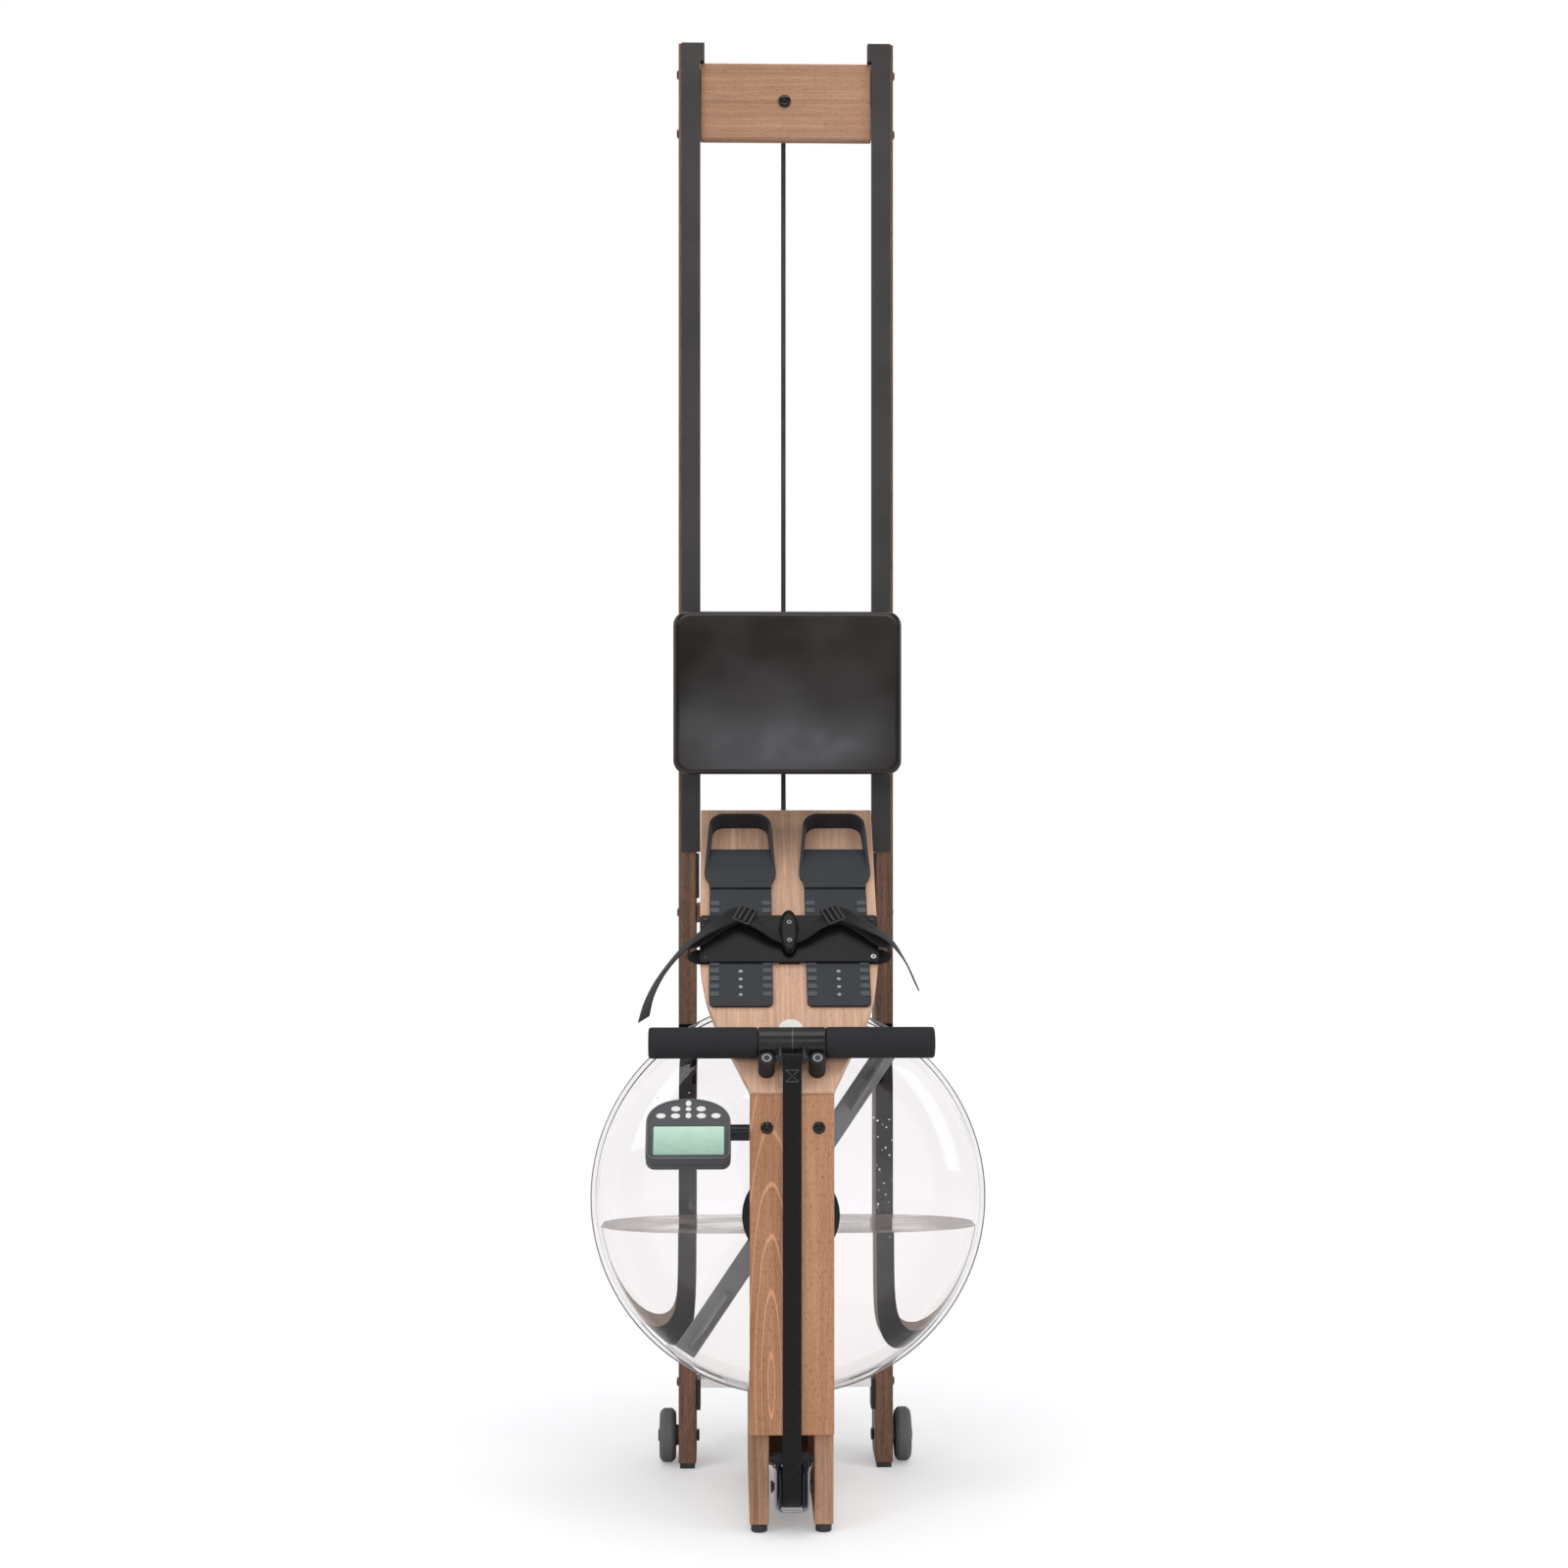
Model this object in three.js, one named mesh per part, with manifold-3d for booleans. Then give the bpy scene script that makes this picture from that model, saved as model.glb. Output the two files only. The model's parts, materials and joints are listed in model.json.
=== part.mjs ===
// Water rowing machine, stored upright on its front end.
// Millimetres, +Z up, the floor at z = 0, x = 0 in the middle plane.
// The face that is on top in use looks along -Y. A depth is measured from the front of the rails
// towards -Y, so a piece at depth d lies at y = -d.
import * as THREE from 'three';
import { mergeVertices } from 'three/addons/utils/BufferGeometryUtils.js';
import Module from 'manifold-3d';

const wasm = await Module();
wasm.setup();

// Shared sizes
const fit = 0.3;
const cutOverrun = 5;
const roundSides = 20;
const smallSides = 12;

// Rails, the two long wooden members that the seat runs on
const rail = { length: 2090, width: 26, depth: 88, halfGap: 132, footHeight: 8, footInset: 2, footLength: 60,
  backCornerRadius: 26 };
const railTop = rail.footHeight + rail.length;
const railOuter = rail.halfGap + rail.width;

// Black running tracks on the front of the rails
const track = { start: 908, thickness: 3, outerMargin: 4.5, innerLip: 6, lipDepth: 10, cornerRadius: 1.5 };
const trackOuter = railOuter - track.outerMargin;
const trackInner = rail.halfGap - track.innerLip;

// Stops at both ends of the seat's travel
const stop = { length: 14, thickness: 6, depth: 17, topGap: 0.5 };

// Rear spreader and rear legs at the top
const spreader = { sideGap: 6.3, drop: 26.8, height: 114, thickness: 18, setBack: 5, edge: 3 };
const spreaderBottom = railTop - spreader.drop - spreader.height;
const rearLeg = { thickness: 26, width: 36, rise: 73, length: 264 };
const rearLegBottom = spreaderBottom + rearLeg.rise;
const roundFoot = { radius: 11, height: 12, setBack: 4 };

// Cross members and the spine board that carries the tank
const upperCross = { bottom: 804, thickness: 26, depth: 82, setBack: 2 };
const lowerCross = { bottom: 119, thickness: 12, depth: 28, bracketThickness: 6, bracketDrop: 33, bracketDepth: 42 };
const spine = { bottom: 20, thickness: 28 };

// Front posts: deep boards on edge, standing under the deck
const post = { thickness: 26, halfGap: 30.5, front: 305, top: 138, earTop: 200, earDepth: 93, earChamfer: 13 };
const postOuter = post.halfGap + post.thickness;

// Footboard: its frame has its origin at the lower end of the front face, +Y up the board, +Z outwards
const board = { lowerDepth: 330, lowerHeight: 597, length: 497.6, thickness: 15, halfWidth: 125,
  slopeDegrees: 48.54 };
const boardWidthShares = [
  [0, 0.452], [0.02, 0.466], [0.05, 0.52], [0.094, 0.594], [0.16, 0.71], [0.224, 0.818],
  [0.29, 0.905], [0.35, 0.952], [0.43, 0.99], [0.52, 1], [1, 1],
];

// Top deck in front of the tank
const deck = { front: 327, halfWidth: 56.5 };
const deckBack = post.front + fit;

// Foot crossbar, strap clamp and the sliding foot plates, in the footboard's frame
const crossbar = { bottom: 212.7, height: 81.5, halfWidth: 125, thickness: 3, underside: 4.6, cornerRadius: 5,
  endFoot: 10, middleFoot: 14 };
const clamp = { width: 28, length: 78, low: 221, thickness: 9, bevel: 3 };
const footPlate = { innerX: 23.5, outerX: 111.5, low: 139, thickness: 4, corner: 8, top: 349,
  heelInnerX: 16.5, heelOuterX: 119.3, heelLow: 350, heelWide: 375, heelTop: 466, heelFloorTop: 416, heelFloor: 7,
  wall: 4.5, hoopHeight: 28, hoopInset: 6.6, rampStart: 383, rampEnd: 432, cornerRadius: 22 };
const plateHole = { x: 68, first: 158.7, pitch: 13.3, radius: 3.2, count: 4, sides: 8 };

// Foot straps: webbing over the plates, with a buckle and a free tail each
const webbing = { width: 25, thickness: 1.6, rise: 12.4 };
const buckle = { width: 30, length: 21, height: 9, x: 62, y: 285.5, lift: 17.5, turnDegrees: 24 };

// Rubber pegs that the handle rests on
const peg = { x: 34, y: 32.4, radius: 11.25, length: 32, rounding: 3 };

// Handle
const handle = { pegGap: 0.439961921, boardGap: 0.477822448, length: 385, gripRadius: 21, sleeveHalf: 45,
  sleeveRadius: 20.9, coreRadius: 10, endRounding: 8 };
const clevis = { dropForward: 30, dropDown: 17, earInner: 14, ear: 4, earHalf: 8, pinHalf: 22, pinRadius: 4 };

// Tank: two shells about a level axis along Y
const tank = { radius: 280, axisHeight: 422, rimDepth: 129, halfThickness: 76, wall: 3.6, rimWidth: 8,
  rimThickness: 4.2, rimGap: 0.6, edgeMargin: 2, curvePower: 4, bossRadius: 30, boss: 8.7, footRadius: 40,
  socketRadius: 17, socket: 9,
  rimInset: 13, profileSteps: 6, sides: 36 };
const shellRadius = tank.radius - tank.rimWidth;
const shellEdge = shellRadius + tank.edgeMargin;
const innerRimRadius = tank.radius - tank.rimInset;
const waterLine = 385;
const waterGap = 1;

// Paddle on its shaft, inside the tank
const paddle = { shaftRadius: 8, length: 496, barWidth: 30, barThickness: 8, hubRadius: 34, hubLength: 40,
  bladeThickness: 4, bladeInner: 155, bladeShoulder: 212, bladeHalfDepth: 52, bladeTipHalfDepth: 36,
  angleDegrees: 56, nutRadius: 12, nut: 6 };

// Drum that the drive strap and the recoil cord wind on
const drum = { start: 214, rearFlange: 4, cordWidth: 18, midFlange: 4, strapWidth: 29.5, frontFlange: 4.5,
  flangeRadius: 45, cordRadius: 22, strapRadius: 30, frontRadius: 66.5 };

// Front pulley, its block and the wire guard
const pulley = { depth: 303, height: 63, radius: 25, flangeRadius: 29, halfWidth: 17.5, flange: 3.5,
  axleRadius: 5, axleHalf: 25, axleHead: 3, axleHeadRadius: 8 };
const pulleyBlock = { back: 284, front: 304.7, bottom: 92.6, height: 11.4, earInner: 18.2, ear: 3.6,
  earBack: 290, earFront: 316, earBottom: 51 };
const wire = { radius: 1.3, sides: 6, halfWidth: 22, front: 335.5, low: 39, high: 98, startGap: 0.2 };
// Out, forward and up, as shares of the guard's half width, reach and height
const wireShares = [
  [1.227, 0, 1], [1.218, 0.356, 1], [1.136, 0.751, 0.992], [1.018, 0.97, 0.915], [1, 1, 0.763], [1, 1, 0.22],
  [0.932, 1, 0.085], [0.682, 1, 0.01], [0.364, 1, 0],
];

// Drive strap
const strap = { width: 25, thickness: 1.6 };

// Rear pulley and the recoil cord
const rearPulley = { depth: -56, rise: 52, radius: 19, flangeRadius: 24, halfWidth: 7, flange: 2, axleRadius: 4,
  bracketInner: 8.5, bracket: 3, bracketHalf: 12, axleHead: 2.5 };
const rearPulleyHeight = spreaderBottom + rearPulley.rise;
const cord = { radius: 3, x: -2.5, sides: 8 };

// Transport wheels
const wheel = { height: 39.6, depth: -41, radius: 39, width: 24, startGap: 4.5, axleRadius: 5, hubRadius: 15, dome: 2,
  headRadius: 9, head: 4, tread: 5 };

// Seat
const seat = { width: 328, height: 234, bottom: 1022, corner: 20, back: 62, front: 90, tuck: 5, hollow: 5, crown: 3,
  cornerSteps: 4, edgeSteps: 4 };
const sitBoneShares = { out: 0.4, wide: 0.3, low: 0.1, tall: 0.5 };
const carriage = { plateHalf: 131, plateBottom: 1040, plateTop: 1238, plateThickness: 6, plateFront: 61.7,
  flangeInner: 121, flange: 4.4, hookOuter: 130.4, hookDepth: -16, hookThickness: 5.4,
  axleRadius: 4, axleReach: 151 };
const roller = { radius: 15, width: 15, inner: 134, lowHeight: 1064, highHeight: 1214 };

// Monitor: its frame has its origin in the middle of the face, +Z out of the face
const monitor = { x: -138, ahead: 46, lift: 12.7, tiltDegrees: 50, width: 112, tall: 94, thickness: 29, corner: 12,
  domeStart: 10, edge: 2.5, lugStart: 6, lug: 34, lugRadius: 16 };
const domeShares = { side: 0.75, top: 0.55 };
const lcd = { left: -46, width: 93.4, low: -40, tall: 43.4, recess: 2.4, thickness: 1.4 };
const arm = { radius: 11, depth: 316, drop: 55.7, length: 98 };
const armHeight = board.lowerHeight - arm.drop;
const monitorDepth = arm.depth + monitor.ahead;
const monitorHeight = armHeight + monitor.lift;
const key = { proud: 0.9, below: 2.4, pocket: 3.8, oval: 6.2, ovalTall: 3.9, small: 4.2, smallTall: 3.2, steps: 6 };
// Keys: how far out and up, as shares of half the case's width and height
const keyPlaceShares = {
  key_upper_left: [-0.3, 0.632], key_upper_right: [0.3, 0.632], key_outer_left: [-0.65, 0.402],
  key_inner_left: [-0.305, 0.4], key_inner_right: [0.305, 0.402], key_outer_right: [0.65, 0.402],
  key_up: [0, 0.813], key_enter: [0, 0.623], key_down: [0, 0.411],
};

// Finishes
const finish = (color, roughness, metalness = 0) => new THREE.MeshStandardMaterial({ color, roughness, metalness });
const walnut = finish(0x8f5f45, 0.5);
const warmWalnut = finish(0xa0683f, 0.48);
const greyBrown = finish(0x6b4733, 0.55);
const satinBlack = finish(0x2a2a2c, 0.45);
const rubber = finish(0x303030, 0.85);
const wheelGrey = finish(0x4a4a4a, 0.7);
const darkSteel = finish(0x1d1d1f, 0.35, 0.8);
const brightSteel = finish(0xc8c8cc, 0.2, 1);
const web = finish(0x1c1c1e, 0.9);
const foam = finish(0x26272a, 0.8);
const seatSkin = finish(0x1f1f22, 0.4);
const plateBlack = finish(0x2b2e34, 0.5);
const clear = new THREE.MeshStandardMaterial({ color: 0xf2eaea, roughness: 0.05, transparent: true, opacity: 0.3 });
const water = new THREE.MeshStandardMaterial({ color: 0xf1ede2, roughness: 0.02, transparent: true, opacity: 0.5 });
const paddleGrey = finish(0x6d6f73, 0.5);
const lcdGreen = finish(0x9fc4ae, 0.3);
const white = finish(0xe8e8e4, 0.5);

// Joining and cutting
const bare = (geometry) => {
  const copy = geometry.index ? geometry.toNonIndexed() : geometry.clone();
  copy.deleteAttribute('normal');
  copy.deleteAttribute('uv');
  return copy;
};
const toSolid = (geometry) => {
  const merged = mergeVertices(bare(geometry));
  const mesh = new wasm.Mesh({
    numProp: 3,
    vertProperties: new Float32Array(merged.attributes.position.array),
    triVerts: new Uint32Array(merged.index.array),
  });
  return new wasm.Manifold(mesh);
};
const toGeometry = (solid) => {
  const mesh = solid.getMesh();
  const geometry = new THREE.BufferGeometry();
  geometry.setAttribute('position', new THREE.BufferAttribute(new Float32Array(mesh.vertProperties), 3));
  geometry.setIndex(new THREE.BufferAttribute(new Uint32Array(mesh.triVerts), 1));
  return geometry;
};
const join = (...parts) => toGeometry(parts.map(toSolid).reduce((sum, part) => sum.add(part)));
const cut = (body, ...tools) => (
  toGeometry(tools.map(toSolid).reduce((rest, tool) => rest.subtract(tool), toSolid(body)))
);
const keepInside = (body, tool) => toGeometry(toSolid(body).intersect(toSolid(tool)));

// Plain shapes
const spanBox = (x0, x1, y0, y1, z0, z1) => {
  const box = new THREE.BoxGeometry(x1 - x0, y1 - y0, z1 - z0);
  return box.translate((x0 + x1) / 2, (y0 + y1) / 2, (z0 + z1) / 2);
};
// A box given by depths: the front and back are measured towards -Y
const depthBox = (x0, x1, back, front, z0, z1) => spanBox(x0, x1, -front, -back, z0, z1);
const mirrorX = (geometry) => {
  const copy = bare(geometry).scale(-1, 1, 1);
  const position = copy.attributes.position.array;
  for (let i = 0; i < position.length; i += 9) {
    for (let k = 0; k < 3; k += 1) {
      const held = position[i + 3 + k];
      position[i + 3 + k] = position[i + 6 + k];
      position[i + 6 + k] = held;
    }
  }
  return copy;
};
const extrude = (shape, depth, options = {}) => new THREE.ExtrudeGeometry(shape, {
  depth, bevelEnabled: false, curveSegments: 4, ...options,
});
const basis = (x, y, z) => new THREE.Matrix4().makeBasis(x, y, z);
const axisX = new THREE.Vector3(1, 0, 0);
const axisY = new THREE.Vector3(0, 1, 0);
const axisZ = new THREE.Vector3(0, 0, 1);
const towardsFront = new THREE.Vector3(0, -1, 0);
// An outline of [depth, height] points, extruded along X from x0 to x1
const sideProfile = (shape, x0, x1) => {
  const solid = extrude(shape, x1 - x0).applyMatrix4(basis(axisY, axisZ, axisX));
  return solid.translate(x0, 0, 0);
};
const depthShape = (points) => new THREE.Shape(points.map(([depth, height]) => new THREE.Vector2(-depth, height)));
// An outline in X and Z, extruded towards the front from one depth to another
const faceProfile = (shape, back, front, options = {}) => {
  const solid = extrude(shape, front - back, options).applyMatrix4(basis(axisX, axisZ, towardsFront));
  return solid.translate(0, -back, 0);
};
const roundedRect = (x0, x1, y0, y1, radius) => {
  const shape = new THREE.Shape();
  shape.moveTo(x0 + radius, y0);
  shape.lineTo(x1 - radius, y0);
  shape.absarc(x1 - radius, y0 + radius, radius, -Math.PI / 2, 0);
  shape.lineTo(x1, y1 - radius);
  shape.absarc(x1 - radius, y1 - radius, radius, 0, Math.PI / 2);
  shape.lineTo(x0 + radius, y1);
  shape.absarc(x0 + radius, y1 - radius, radius, Math.PI / 2, Math.PI);
  shape.lineTo(x0, y0 + radius);
  shape.absarc(x0 + radius, y0 + radius, radius, Math.PI, Math.PI * 1.5);
  return shape;
};
// A round bar between two points along one axis
const bar = (radius, start, end, axis, sides = roundSides) => {
  const solid = new THREE.CylinderGeometry(radius, radius, end - start, sides).translate(0, (start + end) / 2, 0);
  if (axis === 'x') solid.rotateZ(-Math.PI / 2);
  if (axis === 'z') solid.rotateX(Math.PI / 2);
  return solid;
};
// A turned piece: [radius, place] points about Y, then laid along the axis
const turned = (points, axis, sides = roundSides) => {
  const solid = new THREE.LatheGeometry(points.map(([r, place]) => new THREE.Vector2(r, place)), sides);
  if (axis === 'x') solid.rotateZ(-Math.PI / 2);
  if (axis === 'front') solid.rotateX(Math.PI);
  return solid;
};
const closedRing = (points) => [...points, points[0]];

// A strip of constant section through a list of {at, face}: the face looks along the strip's normal
const strip = (stations, width, thickness) => {
  const corners = [];
  stations.forEach(({ at, face }, i) => {
    const before = stations[Math.max(i - 1, 0)].at;
    const after = stations[Math.min(i + 1, stations.length - 1)].at;
    const along = after.clone().sub(before).normalize();
    const across = face.clone().cross(along).normalize();
    const normal = along.clone().cross(across).normalize();
    [[1, -1], [1, 1], [-1, 1], [-1, -1]].forEach(([w, t]) => {
      corners.push(at.clone().addScaledVector(across, w * width / 2).addScaledVector(normal, t * thickness / 2));
    });
  });
  const faces = [];
  const last = (stations.length - 1) * 4;
  faces.push([3, 2, 1], [3, 1, 0], [last, last + 1, last + 2], [last, last + 2, last + 3]);
  for (let i = 0; i < stations.length - 1; i += 1) {
    for (let j = 0; j < 4; j += 1) {
      const a = i * 4 + j;
      const b = i * 4 + (j + 1) % 4;
      faces.push([a, b, b + 4], [a, b + 4, a + 4]);
    }
  }
  const geometry = new THREE.BufferGeometry();
  geometry.setAttribute('position', new THREE.Float32BufferAttribute(corners.flatMap((p) => p.toArray()), 3));
  geometry.setIndex(faces.flat());
  return geometry;
};
// Rings of points closed by a fan at each end
const ringSolid = (rings, start, end) => {
  const count = rings[0].length;
  const points = [...rings.flat(), start, end];
  const startIndex = rings.length * count;
  const faces = [];
  for (let j = 0; j < count; j += 1) {
    const next = (j + 1) % count;
    faces.push([startIndex, next, j]);
    const lastRing = (rings.length - 1) * count;
    faces.push([startIndex + 1, lastRing + j, lastRing + next]);
    for (let i = 0; i < rings.length - 1; i += 1) {
      const a = i * count + j;
      const b = i * count + next;
      faces.push([a, b, b + count], [a, b + count, a + count]);
    }
  }
  const geometry = new THREE.BufferGeometry();
  geometry.setAttribute('position', new THREE.Float32BufferAttribute(points.flat(), 3));
  geometry.setIndex(faces.flat());
  return geometry;
};

// The groups
const rower = new THREE.Group();
const boardGroup = new THREE.Group();
boardGroup.position.set(0, -board.lowerDepth, board.lowerHeight);
boardGroup.rotation.x = THREE.MathUtils.degToRad(board.slopeDegrees);
rower.add(boardGroup);
const monitorGroup = new THREE.Group();
monitorGroup.position.set(monitor.x, -monitorDepth, monitorHeight);
monitorGroup.rotation.x = THREE.MathUtils.degToRad(monitor.tiltDegrees);
rower.add(monitorGroup);
const add = (name, geometry, material, parent = rower) => {
  const mesh = new THREE.Mesh(geometry, material);
  mesh.name = name;
  parent.add(mesh);
};

const sides = [-1, 1];

// Rails
const railShape = new THREE.Shape();
railShape.moveTo(0, rail.footHeight);
railShape.lineTo(rail.depth - rail.backCornerRadius, rail.footHeight);
railShape.absarc(rail.depth - rail.backCornerRadius, rail.footHeight + rail.backCornerRadius, rail.backCornerRadius,
  -Math.PI / 2, 0);
railShape.lineTo(rail.depth, railTop);
railShape.lineTo(0, railTop);
const throughRail = (radius, depth, height) => (
  bar(radius, rail.halfGap - cutOverrun, railOuter + cutOverrun, 'x', smallSides).translate(0, -depth, height)
);
const axleDrill = throughRail(wheel.axleRadius + fit, wheel.depth, wheel.height);
const railFoot = depthBox(rail.halfGap + rail.footInset, railOuter - rail.footInset, -rail.footLength, -rail.footInset,
  0, rail.footHeight + fit);
const rightRail = cut(join(sideProfile(railShape, rail.halfGap, railOuter), railFoot), axleDrill);
add('right_rail', rightRail, greyBrown);
add('left_rail', mirrorX(rightRail), greyBrown);

// Tracks: a flat running face with a lip down the inner side of the rail, and a stop at both ends of the seat's way
const lipOuter = rail.halfGap - fit;
const trackFace = fit + track.thickness;
const trackShape = new THREE.Shape([
  new THREE.Vector2(trackInner, track.lipDepth), new THREE.Vector2(lipOuter, track.lipDepth),
  new THREE.Vector2(lipOuter, -fit), new THREE.Vector2(trackOuter, -fit),
  new THREE.Vector2(trackOuter, -trackFace), new THREE.Vector2(trackInner, -trackFace),
]);
const spreaderTop = spreaderBottom + spreader.height;
const stopBlock = (bottom, top) => (
  depthBox(trackInner - stop.thickness, trackInner + fit, trackFace - stop.depth, trackFace, bottom, top)
);
const seatStopTop = carriage.plateBottom - fit;
const rightTrack = join(
  extrude(trackShape, railTop - track.start).translate(0, 0, track.start),
  stopBlock(spreaderTop + stop.topGap, railTop), stopBlock(seatStopTop - stop.length, seatStopTop),
);
add('right_track', rightTrack, satinBlack);
add('left_track', mirrorX(rightTrack), satinBlack);

// Rear spreader, with its lower and upper edges eased
const spreaderHalf = rail.halfGap - spreader.sideGap;
const spreaderBack = -spreader.setBack - spreader.thickness;
const spreaderFront = -spreader.setBack;
const spreaderShape = depthShape([
  [spreaderBack, spreaderBottom], [spreaderFront - spreader.edge, spreaderBottom],
  [spreaderFront, spreaderBottom + spreader.edge], [spreaderFront, spreaderTop - spreader.edge],
  [spreaderFront - spreader.edge, spreaderTop], [spreaderBack, spreaderTop],
]);
add('rear_spreader', sideProfile(spreaderShape, -spreaderHalf, spreaderHalf), walnut);

// Rear legs behind the spreader
const legBack = spreaderBack - fit - rearLeg.length;
const legOuter = rail.halfGap - fit;
const rightLeg = depthBox(legOuter - rearLeg.thickness, legOuter, legBack, spreaderBack - fit, rearLegBottom,
  rearLegBottom + rearLeg.width);
add('right_rear_leg', rightLeg, greyBrown);
add('left_rear_leg', mirrorX(rightLeg), greyBrown);

// Cross members behind the tank
const crossHalf = rail.halfGap - fit;
const crossFront = -upperCross.setBack;
add('upper_cross_board', depthBox(-crossHalf, crossHalf, crossFront - upperCross.depth, crossFront,
  upperCross.bottom, upperCross.bottom + upperCross.thickness), greyBrown);
const lowerTop = lowerCross.bottom + lowerCross.thickness;
const crossBracket = depthBox(crossHalf - lowerCross.bracketThickness, crossHalf, crossFront - lowerCross.bracketDepth,
  crossFront, lowerCross.bottom - lowerCross.bracketDrop, lowerTop);
add('lower_cross_bar', join(
  depthBox(-crossHalf, crossHalf, crossFront - lowerCross.depth, crossFront, lowerCross.bottom, lowerTop),
  crossBracket, mirrorX(crossBracket),
), darkSteel);

// Spine board between the posts, behind the tank
const spineHalf = post.halfGap - fit;
const spineBack = crossFront + fit;
const spineFront = spineBack + spine.thickness;
add('spine_board', depthBox(-spineHalf, spineHalf, spineBack, spineFront, spine.bottom,
  upperCross.bottom + upperCross.thickness), greyBrown);

// Front posts, with an ear behind the deck
const postShape = depthShape([
  [spineBack, roundFoot.height], [post.front, roundFoot.height], [post.front, post.earTop],
  [post.front - post.earDepth + post.earChamfer, post.earTop],
  [post.front - post.earDepth, post.earTop - post.earChamfer], [post.front - post.earDepth, post.top],
  [spineBack, post.top],
]);
const rightPost = sideProfile(postShape, post.halfGap, postOuter);
add('right_front_post', rightPost, walnut);
add('left_front_post', mirrorX(rightPost), walnut);

// Round rubber feet under the front end of the posts
const rightFoot = bar(roundFoot.radius, 0, roundFoot.height - fit, 'z')
  .translate((post.halfGap + postOuter) / 2, roundFoot.radius + roundFoot.setBack - post.front, 0);
add('right_post_foot', rightFoot, rubber);
add('left_post_foot', mirrorX(rightFoot), rubber);

// Deck: its top end is cut square to the footboard
const slope = THREE.MathUtils.degToRad(board.slopeDegrees);
// The handle lies on the board's face and on the pegs
const handleUp = peg.y + peg.radius + handle.gripRadius + handle.pegGap;
const handleOut = handle.gripRadius + handle.boardGap;
const handleDepth = board.lowerDepth - handleUp * Math.cos(slope) + handleOut * Math.sin(slope);
const handleHeight = board.lowerHeight + handleUp * Math.sin(slope) + handleOut * Math.cos(slope);
const endFall = (depth) => (board.lowerDepth - depth) / Math.tan(slope);
const deckTop = (depth) => board.lowerHeight - endFall(depth) - fit / Math.sin(slope);
const deckShape = depthShape([
  [deckBack, post.top], [deck.front, post.top], [deck.front, deckTop(deck.front)], [deckBack, deckTop(deckBack)],
]);
add('top_deck', sideProfile(deckShape, -deck.halfWidth, deck.halfWidth), warmWalnut);

// Footboard, shaped by its half width along its length
const boardShape = new THREE.Shape();
const boardCurve = (side) => new THREE.SplineCurve(boardWidthShares.map(([along, wide]) => (
  new THREE.Vector2(side * wide * board.halfWidth, along * board.length)
))).getPoints(24);
boardShape.setFromPoints([...boardCurve(1), ...boardCurve(-1).reverse()]);
add('footboard', extrude(boardShape, board.thickness).translate(0, 0, -board.thickness), walnut, boardGroup);

// Foot crossbar: a plate on a foot at each end and one in the middle
const crossbarTop = crossbar.underside + crossbar.thickness;
const crossbarUpper = crossbar.bottom + crossbar.height;
const crossbarFoot = (x0, x1) => spanBox(x0, x1, crossbar.bottom, crossbarUpper, fit, crossbar.underside);
const crossbarEnd = crossbar.halfWidth - crossbar.endFoot;
add('foot_crossbar', join(
  extrude(roundedRect(-crossbar.halfWidth, crossbar.halfWidth, crossbar.bottom, crossbarUpper, crossbar.cornerRadius),
    crossbar.thickness).translate(0, 0, crossbar.underside),
  crossbarFoot(-crossbar.halfWidth, -crossbarEnd), crossbarFoot(crossbarEnd, crossbar.halfWidth),
  crossbarFoot(-crossbar.middleFoot, crossbar.middleFoot),
), plateBlack, boardGroup);

// Centre clamp that holds both foot straps
const clampLow = crossbarTop + fit;
const clampHigh = clamp.low + clamp.length;
const clampShape = roundedRect(-clamp.width / 2 + clamp.bevel, clamp.width / 2 - clamp.bevel, clamp.low + clamp.bevel,
  clampHigh - clamp.bevel, clamp.width / 2 - clamp.bevel - fit);
const clampTop = clampLow + clamp.thickness;
const clampBody = extrude(clampShape, clamp.thickness - clamp.bevel, {
  bevelEnabled: true, bevelThickness: clamp.bevel, bevelSize: clamp.bevel, bevelSegments: 2, curveSegments: 6,
}).translate(0, 0, clampLow);
add('strap_clamp', keepInside(clampBody, spanBox(-clamp.width, clamp.width, 0, board.length, clampLow,
  clampTop + cutOverrun)), satinBlack, boardGroup);

// Handle pegs
const pegTop = peg.length + fit;
const rightPeg = turned([
  [0, fit], [peg.radius, fit], [peg.radius, pegTop - peg.rounding],
  [peg.radius - peg.rounding / 3, pegTop - peg.rounding / 3], [peg.radius - peg.rounding, pegTop], [0, pegTop],
], 'y', 24).rotateX(Math.PI / 2).translate(peg.x, peg.y, 0);
add('right_handle_peg', rightPeg, rubber, boardGroup);
add('left_handle_peg', mirrorX(rightPeg), rubber, boardGroup);

// Foot plates: a plate with adjusting holes and a heel cup with an open hoop
const hoopTop = fit + footPlate.hoopHeight;
const hoopInner = footPlate.heelInnerX + footPlate.hoopInset;
const hoopOuter = footPlate.heelOuterX - footPlate.hoopInset;
const cornerUp = footPlate.heelTop - footPlate.cornerRadius;
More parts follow.
